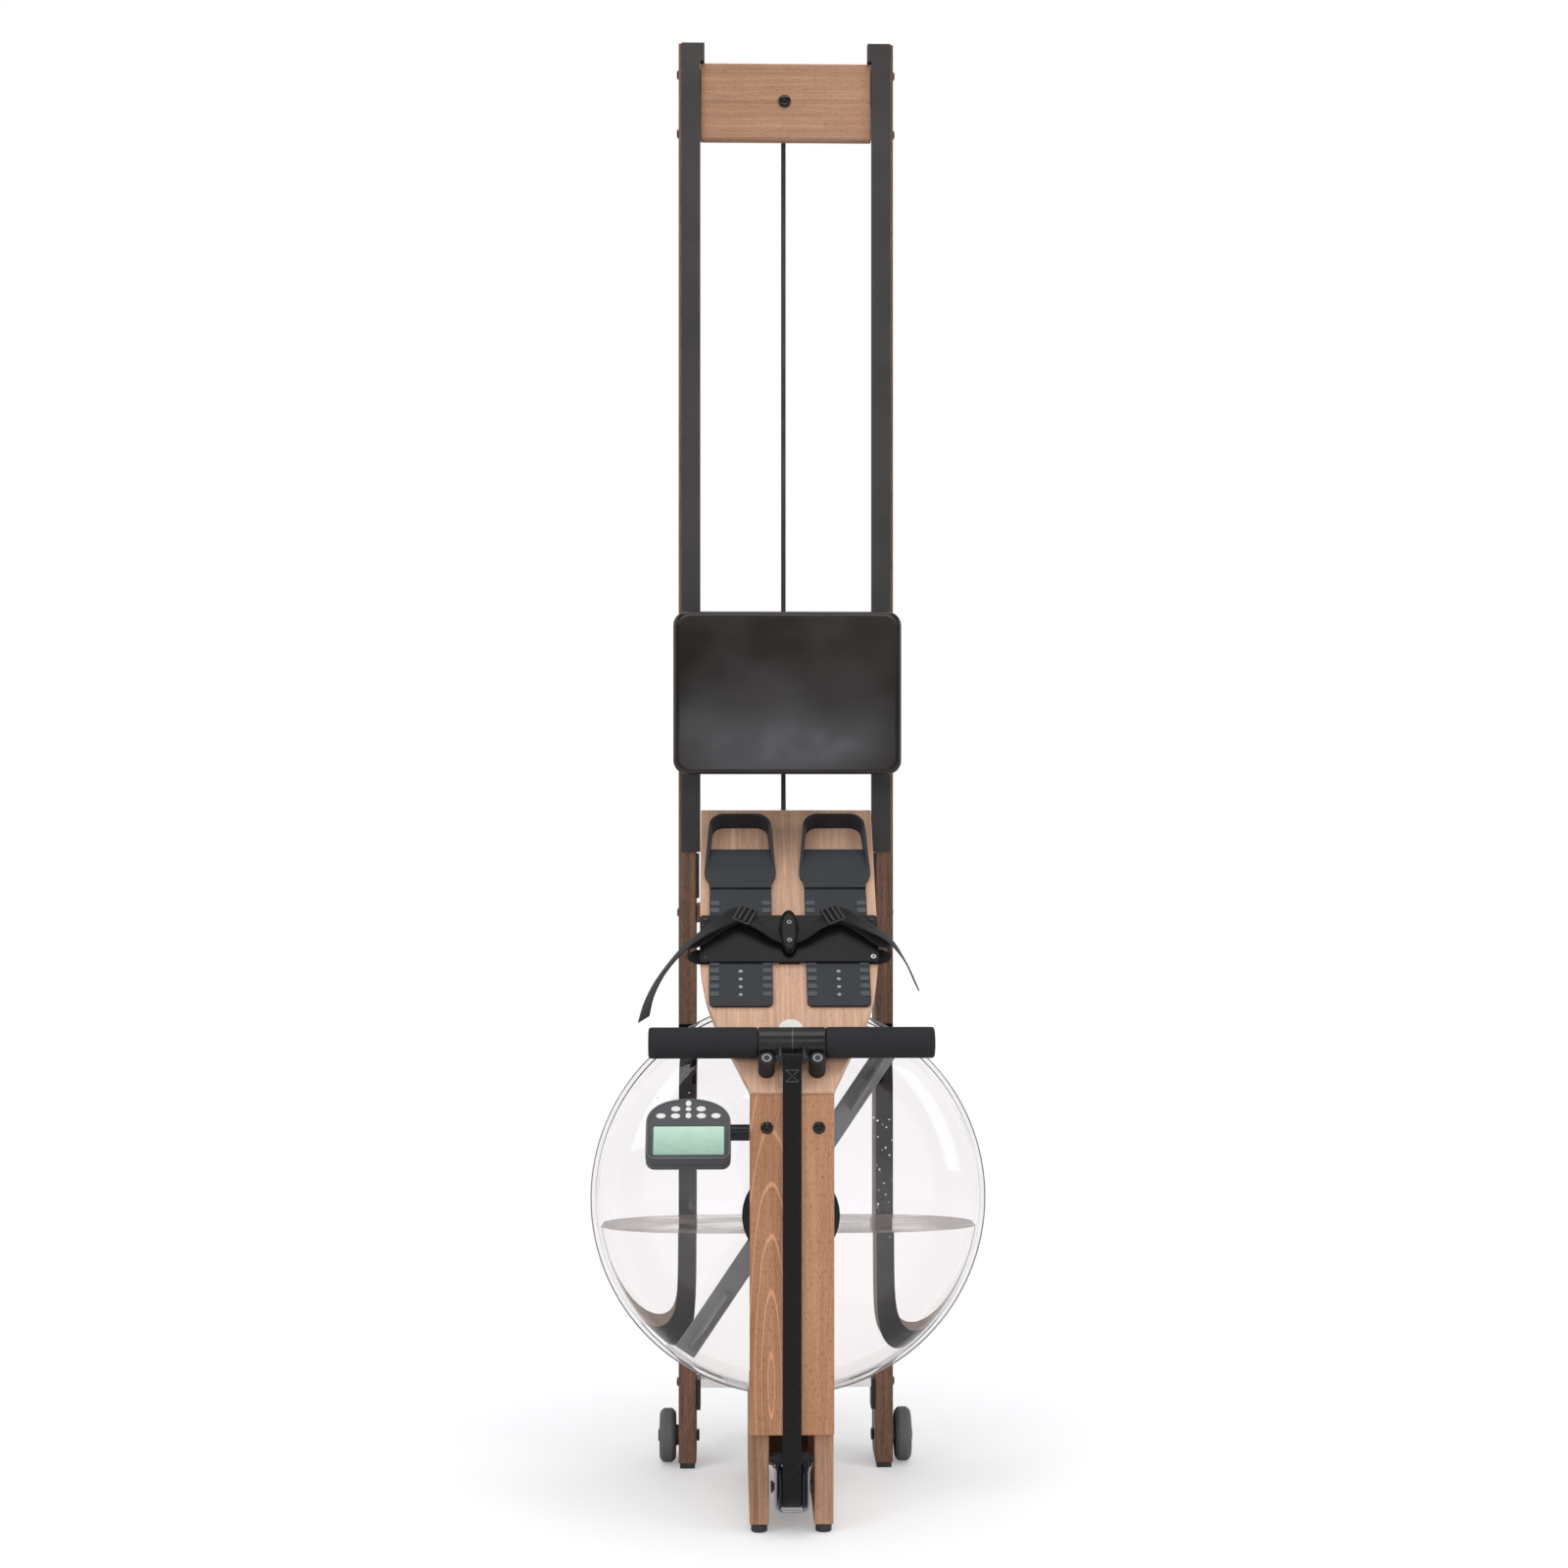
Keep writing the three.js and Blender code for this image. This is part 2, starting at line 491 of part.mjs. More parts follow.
// The cup's outline: widest at the heel, narrower to the hoop's round corners, and offset inwards for its hollow
const cupShape = (offset, low) => {
  const radius = footPlate.cornerRadius - offset;
  const shape = new THREE.Shape();
  shape.moveTo(footPlate.heelInnerX + offset, footPlate.heelWide);
  if (low < footPlate.heelWide) {
    const middle = (footPlate.heelLow + footPlate.heelWide) / 2;
    shape.bezierCurveTo(footPlate.heelInnerX + offset, middle, footPlate.innerX + offset, middle,
      footPlate.innerX + offset, footPlate.heelLow);
    shape.lineTo(footPlate.innerX + offset, low);
    shape.lineTo(footPlate.outerX - offset, low);
    shape.lineTo(footPlate.outerX - offset, footPlate.heelLow);
    shape.bezierCurveTo(footPlate.outerX - offset, middle, footPlate.heelOuterX - offset, middle,
      footPlate.heelOuterX - offset, footPlate.heelWide);
  } else {
    shape.lineTo(footPlate.heelOuterX - offset, footPlate.heelWide);
  }
  shape.lineTo(hoopOuter - offset, cornerUp);
  shape.absarc(hoopOuter - footPlate.cornerRadius, cornerUp, radius, 0, Math.PI / 2);
  shape.absarc(hoopInner + footPlate.cornerRadius, cornerUp, radius, Math.PI / 2, Math.PI);
  return shape;
};
const heelHollow = extrude(cupShape(footPlate.wall, footPlate.heelWide), footPlate.hoopHeight)
  .translate(0, 0, footPlate.heelFloor);
const heelWindow = keepInside(
  extrude(cupShape(footPlate.wall, footPlate.heelWide), footPlate.hoopHeight).translate(0, 0, -cutOverrun),
  spanBox(0, board.halfWidth, footPlate.heelFloorTop, board.length, -cutOverrun, hoopTop),
);
const rampPoints = [
  [footPlate.low, footPlate.heelFloor], [footPlate.rampStart, footPlate.heelFloor],
  [footPlate.rampEnd, hoopTop], [board.length, hoopTop + cutOverrun], [board.length, 2 * hoopTop],
  [footPlate.low, 2 * hoopTop],
];
const ramp = sideProfile(new THREE.Shape(rampPoints.map(([along, out]) => new THREE.Vector2(along, out))),
  0, board.halfWidth);
const plateTop = fit + footPlate.thickness;
const lowerPlate = extrude(roundedRect(footPlate.innerX, footPlate.outerX, footPlate.low, footPlate.top,
  footPlate.corner), footPlate.thickness).translate(0, 0, fit);
const plateDrills = Array.from({ length: plateHole.count }, (_, i) => (
  bar(plateHole.radius, -cutOverrun, plateTop + cutOverrun, 'z', plateHole.sides)
    .translate(plateHole.x, plateHole.first + i * plateHole.pitch, 0)
));
const heelCup = cut(
  extrude(cupShape(0, footPlate.heelLow - footPlate.wall), footPlate.hoopHeight).translate(0, 0, fit),
  heelHollow, heelWindow, ramp,
);
const rightFootPlate = cut(join(heelCup, lowerPlate), heelWindow, ...plateDrills);
add('right_foot_plate', rightFootPlate, plateBlack, boardGroup);
add('left_foot_plate', mirrorX(rightFootPlate), plateBlack, boardGroup);

// Foot straps in the footboard's frame: across the crossbar's half width, up its height and out over its plate, as
// shares, and the way that the strip's face looks
const station = ([across, up, out], face) => ({
  at: new THREE.Vector3(across * crossbar.halfWidth, crossbar.bottom + up * crossbar.height,
    crossbarTop + out * webbing.rise),
  face: new THREE.Vector3(...face),
});
const strapOverShares = [
  [[0.117, 0.605, 0.137], [0, 0, 1]], [[0.192, 0.605, 0.177], [0, 0, 1]],
  [[0.288, 0.666, 0.274], [0, 0, 1]], [[0.4, 0.789, 0.452], [0, 0, 1]], [[0.544, 0.887, 0.532], [0, 0, 1]],
  [[0.672, 0.826, 0.484], [0, 0, 1]], [[0.808, 0.679, 0.371], [0, 0, 1]],
  [[0.936, 0.544, 0.306], [0, 0, 1]], [[1.032, 0.458, 0.258], [0.5, 0, 0.9]],
  [[1.068, 0.421, -0.21], [1, 0, 0.3]],
];
const leftTailShares = [
  [[0.48, 0.85, 0.565], [0, 0, 1]], [[0.592, 0.887, 0.839], [0, 0, 1]], [[0.72, 0.813, 0.96], [0, 0, 1]],
  [[0.912, 0.593, 0.879], [0, 0.1, 1]], [[1.136, 0.31, 0.597], [0, 0.2, 1]],
  [[1.32, 0.016, 0.435], [0.1, 0.2, 1]], [[1.472, -0.401, 0.355], [0.1, 0, 1]],
  [[1.552, -0.818, 0.355], [0, 0, 1]], [[1.592, -1.285, 0.435], [0, 0, 1]],
];
const rightTailShares = [
  [[0.48, 0.85, 0.565], [0, 0, 1]], [[0.592, 0.887, 0.839], [0, 0, 1]], [[0.736, 0.789, 1], [0.2, 0.2, 1]],
  [[0.896, 0.605, 1], [0.5, 0.5, 0.8]], [[1.072, 0.372, 0.919], [0.7, 0.6, 0.5]],
  [[1.208, 0.102, 0.839], [0.85, 0.5, 0.3]], [[1.312, -0.205, 0.839], [0.95, 0.4, 0.2]],
  [[1.392, -0.622, 0.839], [0.97, 0.3, 0.2]],
];
const toStations = (rows) => rows.map(([at, face]) => station(at, face));
const webStrip = (rows) => strip(toStations(rows), webbing.width, webbing.thickness);
const buckleBlock = spanBox(-buckle.length / 2, buckle.length / 2, -buckle.width / 2, buckle.width / 2,
  -buckle.height / 2, buckle.height / 2)
  .rotateZ(THREE.MathUtils.degToRad(buckle.turnDegrees))
  .translate(buckle.x, buckle.y, buckle.lift);
add('right_foot_strap', join(webStrip(strapOverShares), webStrip(rightTailShares), buckleBlock), web, boardGroup);
add('left_foot_strap', mirrorX(join(webStrip(strapOverShares), webStrip(leftTailShares), buckleBlock)), web, boardGroup);

// Tank shells: [radius, distance from the rim plane]
const shellCurve = (radius, half, edge) => half * Math.sqrt(1 - (radius / edge) ** tank.curvePower);
const outerAt = (radius) => shellCurve(radius, tank.halfThickness, shellEdge);
const innerHalf = tank.halfThickness - tank.wall;
const innerAt = (radius) => shellCurve(radius, innerHalf, shellEdge - tank.wall);
const radiiBetween = (low, high) => Array.from({ length: tank.profileSteps + 1 }, (_, i) => (
  low + (high - low) * Math.sin((Math.PI / 2) * (i / tank.profileSteps))
));
const rimLow = tank.rimGap / 2;
const rimHigh = rimLow + tank.rimThickness;
const rimPoints = [
  [innerRimRadius, rimLow], [tank.radius, rimLow], [tank.radius, rimHigh], [shellRadius, rimHigh],
];
const outwards = (from) => radiiBetween(from, innerRimRadius).map((radius) => [radius, innerAt(radius)]);
const inwards = (to) => radiiBetween(to, shellRadius).reverse().map((radius) => [radius, outerAt(radius)]);
const shaftBore = paddle.shaftRadius + fit;
const bossFace = tank.halfThickness + tank.boss;
const frontShell = closedRing([
  ...outwards(shaftBore), ...rimPoints, ...inwards(tank.bossRadius), [tank.bossRadius, bossFace], [shaftBore, bossFace],
]);
const footFace = tank.rimDepth - spineFront - fit;
const rearShell = [
  [0, innerHalf], [shaftBore, innerHalf], [shaftBore, innerHalf - tank.socket],
  [tank.socketRadius, innerHalf - tank.socket],
  ...outwards(tank.socketRadius), ...rimPoints, ...inwards(tank.footRadius), [tank.footRadius, footFace], [0, footFace],
];
const onTank = (geometry) => geometry.translate(0, -tank.rimDepth, tank.axisHeight);
add('tank_front_shell', onTank(turned(frontShell, 'front', tank.sides)), clear);
add('tank_rear_shell', onTank(turned(rearShell, 'y', tank.sides)), clear);

// Paddle: two arms with blades, on a shaft that reaches out through the drum
const drumEnd = drum.start + drum.rearFlange + drum.cordWidth + drum.midFlange + drum.strapWidth + drum.frontFlange;
const paddleSolid = (grow) => {
  const half = paddle.length / 2 + grow;
  const blade = new THREE.Shape([
    new THREE.Vector2(paddle.bladeInner - grow, -paddle.bladeHalfDepth - grow),
    new THREE.Vector2(paddle.bladeShoulder + grow / 2, -paddle.bladeHalfDepth - grow),
    new THREE.Vector2(half, -paddle.bladeTipHalfDepth - grow),
    new THREE.Vector2(half, paddle.bladeTipHalfDepth + grow),
    new THREE.Vector2(paddle.bladeShoulder + grow / 2, paddle.bladeHalfDepth + grow),
    new THREE.Vector2(paddle.bladeInner - grow, paddle.bladeHalfDepth + grow),
  ]);
  const bladeHalf = paddle.bladeThickness / 2 + grow;
  const rightBlade = extrude(blade, 2 * bladeHalf).translate(0, 0, -bladeHalf);
  const flat = paddle.barThickness / 2 + grow;
  const wide = paddle.barWidth / 2 + grow;
  const arms = join(
    spanBox(-half, half, -flat, flat, -wide, wide),
    bar(paddle.hubRadius + grow, -paddle.hubLength / 2 - grow, paddle.hubLength / 2 + grow, 'y'),
    rightBlade, rightBlade.clone().rotateY(Math.PI),
  );
  return arms.rotateY(-THREE.MathUtils.degToRad(paddle.angleDegrees));
};
const shaftFront = drumEnd + fit + paddle.nut + fit - tank.rimDepth;
const nutFront = drumEnd + fit + paddle.nut - tank.rimDepth;
add('paddle', onTank(join(
  paddleSolid(0),
  bar(paddle.shaftRadius, -shaftFront, innerHalf - fit, 'y'),
  bar(paddle.nutRadius, -nutFront, -nutFront + paddle.nut, 'y', 6),
)), paddleGrey);

// Water, up to its level, clear of the paddle
const waterRadii = radiiBetween(0, innerRimRadius - waterGap);
const waterHalf = waterRadii.map((radius) => [radius, innerAt(radius) - waterGap]);
const waterPoints = [...waterHalf.map(([radius, half]) => [radius, -half]),
  ...waterHalf.toReversed().map(([radius, half]) => [radius, half])];
const below = spanBox(-tank.radius, tank.radius, -tank.radius, tank.radius, -tank.radius, waterLine - tank.axisHeight);
add('water', onTank(cut(keepInside(turned(waterPoints, 'y', tank.sides), below), paddleSolid(waterGap))), water);

// Drum on the paddle's shaft
const drumPlaces = [drum.rearFlange, drum.cordWidth, drum.midFlange, drum.strapWidth, drum.frontFlange].reduce(
  (places, width) => [...places, places.at(-1) + width], [drum.start]);
const [rearFlangeStart, cordStart, midFlangeStart, strapStart, frontFlangeStart] = drumPlaces;
add('strap_drum', turned(closedRing([
  [drum.flangeRadius, rearFlangeStart], [drum.flangeRadius, cordStart], [drum.cordRadius, cordStart],
  [drum.cordRadius, midFlangeStart], [drum.flangeRadius, midFlangeStart], [drum.flangeRadius, strapStart],
  [drum.strapRadius, strapStart], [drum.strapRadius, frontFlangeStart], [drum.frontRadius, frontFlangeStart],
  [drum.frontRadius, drumEnd], [shaftBore, drumEnd], [shaftBore, rearFlangeStart],
]), 'front', 32).translate(0, 0, tank.axisHeight), satinBlack);

// Front pulley in its block, between the posts
const pulleyInner = pulley.halfWidth - pulley.flange;
const atPulley = (geometry) => geometry.translate(0, -pulley.depth, pulley.height);
add('front_pulley', atPulley(turned(closedRing([
  [pulley.flangeRadius, -pulley.halfWidth], [pulley.flangeRadius, -pulleyInner], [pulley.radius, -pulleyInner],
  [pulley.radius, pulleyInner], [pulley.flangeRadius, pulleyInner], [pulley.flangeRadius, pulley.halfWidth],
  [pulley.axleRadius + fit, pulley.halfWidth], [pulley.axleRadius + fit, -pulley.halfWidth],
]), 'x')), plateBlack);
const blockTop = pulleyBlock.bottom + pulleyBlock.height;
const rightEar = depthBox(pulleyBlock.earInner, pulleyBlock.earInner + pulleyBlock.ear, pulleyBlock.earBack,
  pulleyBlock.earFront, pulleyBlock.earBottom, pulleyBlock.bottom + fit);
add('pulley_block', join(
  depthBox(-spineHalf, spineHalf, pulleyBlock.back, pulleyBlock.front, pulleyBlock.bottom, blockTop),
  rightEar, mirrorX(rightEar),
  atPulley(bar(pulley.axleRadius, -pulley.axleHalf, pulley.axleHalf, 'x')),
  ...sides.map((side) => atPulley(bar(pulley.axleHeadRadius, 0, pulley.axleHead, 'x', smallSides)
    .translate(side > 0 ? pulley.axleHalf : -pulley.axleHalf - pulley.axleHead, 0, 0))),
), darkSteel);

// Curves whose steps fall on their own points, for wires and cords
class HeldCurve extends THREE.CatmullRomCurve3 {
  getPointAt(u, target) {
    return this.getPoint(u, target);
  }

  getTangentAt(u, target) {
    return this.getTangent(u, target);
  }
}
const heldTube = (route, radius, sideCount, stepsPerPoint) => {
  const section = new THREE.Shape();
  for (let i = 0; i < sideCount; i += 1) {
    const turn = (i / sideCount) * Math.PI * 2;
    const corner = [radius * Math.cos(turn), radius * Math.sin(turn)];
    if (i === 0) section.moveTo(...corner);
    else section.lineTo(...corner);
  }
  section.closePath();
  const points = route.map(([x, depth, height]) => new THREE.Vector3(x, -depth, height));
  return new THREE.ExtrudeGeometry(section, {
    steps: (points.length - 1) * stepsPerPoint, bevelEnabled: false, extrudePath: new HeldCurve(points),
  });
};

// Wire guard in front of the pulley
const wireBack = post.front + wire.startGap;
const wireHalf = wireShares.map(([out, forward, up]) => (
  [out * wire.halfWidth, wireBack + forward * (wire.front - wireBack), wire.low + up * (wire.high - wire.low)]
));
const wireRoute = [...wireHalf, ...wireHalf.toReversed().map(([x, depth, height]) => [-x, depth, height])];
add('wire_guard', heldTube(wireRoute, wire.radius, wire.sides, 1), brightSteel);

// Drive strap: the straight run up the deck to the handle
const wrapSteps = 12;
const wrapStep = Math.PI / wrapSteps;
const roundChord = (radius, step) => radius / Math.cos(step / 2);
const strapInner = roundChord(pulley.radius + fit, wrapStep);
const runLow = pulley.depth + strapInner;
const pinDepth = handleDepth + clevis.dropForward;
const pinHeight = handleHeight - clevis.dropDown;
const runTop = pinHeight - clevis.pinRadius - fit;
const halfStrap = strap.thickness / 2;
const strapShape = depthShape([
  [runLow, pulley.height + fit], [runLow + strap.thickness, pulley.height + fit], [pinDepth + halfStrap, runTop],
  [pinDepth - halfStrap, runTop],
]);
add('drive_strap', sideProfile(strapShape, -strap.width / 2, strap.width / 2), web);

// Strap return: round the pulley, a quarter twist up to the drum, and a wrap round it
const wrapRadius = strapInner + halfStrap;
const drumTurn = Math.PI * 1.5;
const drumSteps = 18;
const drumWrap = roundChord(drum.strapRadius + fit, drumTurn / drumSteps) + halfStrap;
const drumMiddle = (strapStart + frontFlangeStart) / 2;
const twistSteps = 14;
const ease = (t) => t * t * (3 - 2 * t);
const twistShare = 0.8;
const returnStations = [];
for (let i = 0; i <= wrapSteps; i += 1) {
  const turn = wrapStep * i;
  returnStations.push({
    at: new THREE.Vector3(0, -pulley.depth - wrapRadius * Math.cos(turn), pulley.height - wrapRadius * Math.sin(turn)),
    face: new THREE.Vector3(0, -Math.cos(turn), -Math.sin(turn)),
  });
}
for (let i = 1; i < twistSteps; i += 1) {
  const along = i / twistSteps;
  const eased = ease(Math.min(1, along / twistShare));
  const lean = eased * Math.PI / 2;
  const backDepth = pulley.depth - wrapRadius;
  returnStations.push({
    at: new THREE.Vector3(drumWrap * eased, -(backDepth + (drumMiddle - backDepth) * eased),
      pulley.height + (tank.axisHeight - pulley.height) * along),
    face: new THREE.Vector3(Math.sin(lean), Math.cos(lean), 0),
  });
}
for (let i = 0; i <= drumSteps; i += 1) {
  const turn = drumTurn * (i / drumSteps);
  returnStations.push({
    at: new THREE.Vector3(drumWrap * Math.cos(turn), -drumMiddle, tank.axisHeight + drumWrap * Math.sin(turn)),
    face: new THREE.Vector3(Math.cos(turn), 0, Math.sin(turn)),
  });
}
add('strap_return', strip(returnStations, strap.width, strap.thickness), web);

// Rear pulley and its bracket behind the spreader
const atRearPulley = (geometry) => geometry.translate(cord.x, -rearPulley.depth, rearPulleyHeight);
const rearInner = rearPulley.halfWidth - rearPulley.flange;
add('rear_pulley', atRearPulley(turned(closedRing([
  [rearPulley.flangeRadius, -rearPulley.halfWidth], [rearPulley.flangeRadius, -rearInner],
  [rearPulley.radius, -rearInner], [rearPulley.radius, rearInner], [rearPulley.flangeRadius, rearInner],
  [rearPulley.flangeRadius, rearPulley.halfWidth],
  [rearPulley.axleRadius + fit, rearPulley.halfWidth], [rearPulley.axleRadius + fit, -rearPulley.halfWidth],
]), 'x', 24)), plateBlack);
const bracketOuter = rearPulley.bracketInner + rearPulley.bracket;
const plateBack = spreaderBack - fit - rearPulley.bracket;
const rearEarBack = rearPulley.depth - rearPulley.axleRadius * 2;
const rearEar = depthBox(cord.x + rearPulley.bracketInner, cord.x + bracketOuter, rearEarBack, plateBack + fit,
  rearPulleyHeight - rearPulley.bracketHalf, rearPulleyHeight + rearPulley.bracketHalf);
const otherEar = rearEar.clone().translate(-rearPulley.bracketInner - bracketOuter, 0, 0);
add('rear_pulley_bracket', join(
  depthBox(cord.x - bracketOuter, cord.x + bracketOuter, plateBack, spreaderBack - fit,
    rearPulleyHeight - rearPulley.bracketHalf, rearPulleyHeight + rearPulley.bracketHalf),
  rearEar, otherEar,
  atRearPulley(bar(rearPulley.axleRadius, -bracketOuter - rearPulley.axleHead, bracketOuter + rearPulley.axleHead, 'x',
    24)),
), darkSteel);

// Recoil cord: off the drum, over the tank, up to the rear pulley and back to the upper cross board
const cordTurnStep = THREE.MathUtils.degToRad(30);
const cordWrap = roundChord(drum.cordRadius + fit + cord.radius, cordTurnStep);
const cordMiddle = (cordStart + midFlangeStart) / 2;
const rearWrap = roundChord(rearPulley.radius + fit + cord.radius, cordTurnStep);
const drumTurns = [2, 1, 0, -1, -2, -3, -4, -5, -6].map((step) => step * cordTurnStep);
const pulleyTurns = [0, 1, 2, 3, 4, 5, 6].map((step) => step * cordTurnStep);
const strandFront = rearPulley.depth + rearWrap;
const strandBack = rearPulley.depth - rearWrap;
const cordRoute = [
  ...drumTurns.map((turn) => [-cordWrap * Math.cos(turn), cordMiddle, tank.axisHeight + cordWrap * Math.sin(turn)]),
  [25, 227, 460], [24, 226, 510], [21, 222, 565], [17, 213, 620], [12, 198, 678], [7, 170, 732], [4, 128, 782],
  [2, 82, 828], [0, 34, 874], [-1.5, -6, 920], [-2.3, -25, 965], [-2.5, -32, 1015],
  [cord.x, strandFront, 1080], [cord.x, strandFront, 1300], [cord.x, strandFront, 1550], [cord.x, strandFront, 1800],
  [cord.x, strandFront, 1960],
  ...pulleyTurns.map((turn) => [cord.x, rearPulley.depth + rearWrap * Math.cos(turn),
    rearPulleyHeight + rearWrap * Math.sin(turn)]),
  [cord.x, strandBack, 1960], [cord.x, strandBack, 1700], [cord.x, strandBack, 1400], [cord.x, strandBack, 1100],
  [cord.x, strandBack, upperCross.bottom + upperCross.thickness + fit],
];
add('recoil_cord', heldTube(cordRoute, cord.radius, cord.sides, 1), web);

// Transport wheels
const wheelInner = railOuter + wheel.startGap;
const wheelOuter = wheelInner + wheel.width;
const rightWheel = turned(closedRing([
  [wheel.hubRadius, wheelInner], [wheel.radius - wheel.tread, wheelInner], [wheel.radius, wheelInner + wheel.tread],
  [wheel.radius, wheelOuter - wheel.tread], [wheel.radius - wheel.tread, wheelOuter],
  [wheel.hubRadius, wheelOuter - wheel.dome], [wheel.axleRadius + fit, wheelOuter - wheel.dome],
  [wheel.axleRadius + fit, wheelInner - wheel.startGap + fit], [wheel.hubRadius, wheelInner - wheel.startGap + fit],
]), 'x').translate(0, -wheel.depth, wheel.height);
add('right_wheel', rightWheel, wheelGrey);
add('left_wheel', mirrorX(rightWheel), wheelGrey);

// Wheel axles: a bolt through wheel and rail, with a nut inside the rail
const axleHeadFace = wheelOuter - wheel.dome + fit;
const axleNutFace = rail.halfGap - fit;
const rightAxle = join(
  bar(wheel.axleRadius, axleNutFace - wheel.head, axleHeadFace + wheel.head, 'x'),
  bar(wheel.headRadius, axleHeadFace, axleHeadFace + wheel.head, 'x', smallSides),
  bar(wheel.headRadius, axleNutFace - wheel.head, axleNutFace, 'x', 6),
).translate(0, -wheel.depth, wheel.height);
add('right_wheel_axle', rightAxle, darkSteel);
add('left_wheel_axle', mirrorX(rightAxle), darkSteel);

// Seat carriage: a plate with two side flanges that hook under the track lips
const flangeOuter = carriage.flangeInner + carriage.flange;
const plateUnder = carriage.plateFront - carriage.plateThickness;
const rollerDepth = trackFace + fit + roller.radius;
const rollerHeights = [roller.lowHeight, roller.highHeight];
const atRoller = (geometry, height) => geometry.translate(0, -rollerDepth, height);
const rightFlange = join(
  depthBox(carriage.flangeInner, flangeOuter, carriage.hookDepth, plateUnder + fit, carriage.plateBottom,
    carriage.plateTop),
  depthBox(flangeOuter - fit, carriage.hookOuter, carriage.hookDepth, carriage.hookDepth + carriage.hookThickness,
    carriage.plateBottom, carriage.plateTop),
);
const axleBores = rollerHeights.map((height) => (
  atRoller(bar(carriage.axleRadius + fit, -carriage.axleReach, carriage.axleReach, 'x', 24), height)
));
add('seat_carriage', cut(
  join(
    depthBox(-flangeOuter, flangeOuter, plateUnder, carriage.plateFront, carriage.plateBottom, carriage.plateTop),
    rightFlange, mirrorX(rightFlange),
  ),
  ...axleBores,
), darkSteel);

// Seat rollers: a pair fixed on each axle
const rollerEdge = roller.radius / 10;
const rollerOuter = roller.inner + roller.width;
const halfRoller = [
  [carriage.axleRadius, roller.inner], [roller.radius - rollerEdge, roller.inner],
  [roller.radius, roller.inner + rollerEdge], [roller.radius, rollerOuter - rollerEdge],
  [roller.radius - rollerEdge, rollerOuter], [carriage.axleRadius, rollerOuter],
  [carriage.axleRadius, carriage.axleReach], [0, carriage.axleReach],
];
const pairPoints = [...halfRoller.toReversed().map(([radius, place]) => [radius, -place]), ...halfRoller];
const rollerPair = (height) => atRoller(turned(pairPoints, 'x', 16), height);
add('lower_rollers', rollerPair(roller.lowHeight), white);
add('upper_rollers', rollerPair(roller.highHeight), white);

// Seat pad: rings of a rounded outline from the back to the hollowed front
const seatHalfWidth = seat.width / 2;
const seatHalfHeight = seat.height / 2;
const seatMiddle = seat.bottom + seatHalfHeight;
const seatOutline = [];
const corners = [[1, -1, -90], [1, 1, 0], [-1, 1, 90], [-1, -1, 180]];
corners.forEach(([sx, sz, from], i) => {
  const centreX = sx * (seatHalfWidth - seat.corner);
  const centreZ = sz * (seatHalfHeight - seat.corner);
  for (let k = 0; k <= seat.cornerSteps; k += 1) {
    const turn = THREE.MathUtils.degToRad(from + 90 * (k / seat.cornerSteps));
    seatOutline.push([centreX + seat.corner * Math.cos(turn), centreZ + seat.corner * Math.sin(turn)]);
  }
  const last = seatOutline.at(-1);
  const [nx, nz, nextFrom] = corners[(i + 1) % corners.length];
  const turn = THREE.MathUtils.degToRad(nextFrom);
  const next = [nx * (seatHalfWidth - seat.corner) + seat.corner * Math.cos(turn),
    nz * (seatHalfHeight - seat.corner) + seat.corner * Math.sin(turn)];
  for (let k = 1; k < seat.edgeSteps; k += 1) {
    const share = k / seat.edgeSteps;
    seatOutline.push([last[0] + (next[0] - last[0]) * share, last[1] + (next[1] - last[1]) * share]);
  }
});
const seatDepth = (x, z) => {
  const across = x / seatHalfWidth;
  const upwards = z / seatHalfHeight;
  const sideways = (Math.abs(across) - sitBoneShares.out) / sitBoneShares.wide;
  const lengthways = (upwards + sitBoneShares.low) / sitBoneShares.tall;
  const sitBones = Math.exp(-(sideways ** 2) - lengthways ** 2);
  return seat.front - seat.crown * (across * across + upwards * upwards) / 2 - seat.hollow * sitBones;
};
const seatBackShares = [[0.9, 0], [0.965, 0.02], [0.98, 0.2], [1, 0.5]];
const seatFrontShares = [0.985, 0.955, 0.9, 0.8, 0.65, 0.5, 0.34, 0.17];
const seatRings = [
  ...seatBackShares.map(([share, rise]) => seatOutline.map(([x, z]) => (
    [x * share, -(seat.back + rise * (seat.front - seat.back)), seatMiddle + z * share]
  ))),
  ...seatFrontShares.map((share, i) => seatOutline.map(([x, z]) => {
    const drop = i === 0 ? seat.tuck : 0;
    return [x * share, -(seatDepth(x * share, z * share) - drop), seatMiddle + z * share];
  })),
];
add('seat_pad', ringSolid(seatRings, [0, -seat.back, seatMiddle], [0, -seatDepth(0, 0), seatMiddle]), seatSkin);

// Handle: a core with a centre sleeve and a clevis for the strap, and two foam grips
const atHandle = (geometry) => geometry.translate(0, -handleDepth, handleHeight);
const gripEnd = handle.length / 2;
const coreEnd = gripEnd - handle.endRounding;
const earLength = Math.hypot(clevis.dropForward, clevis.dropDown);
const earTurn = -Math.atan2(clevis.dropDown, clevis.dropForward);
const clevisEar = join(
  depthBox(clevis.earInner, clevis.earInner + clevis.ear, 0, earLength, -clevis.earHalf, clevis.earHalf),
  bar(clevis.earHalf, clevis.earInner, clevis.earInner + clevis.ear, 'x', smallSides).translate(0, -earLength, 0),
).rotateX(-earTurn);
const clevisPin = bar(clevis.pinRadius, -clevis.pinHalf, clevis.pinHalf, 'x', smallSides)
  .translate(0, -clevis.dropForward, -clevis.dropDown);
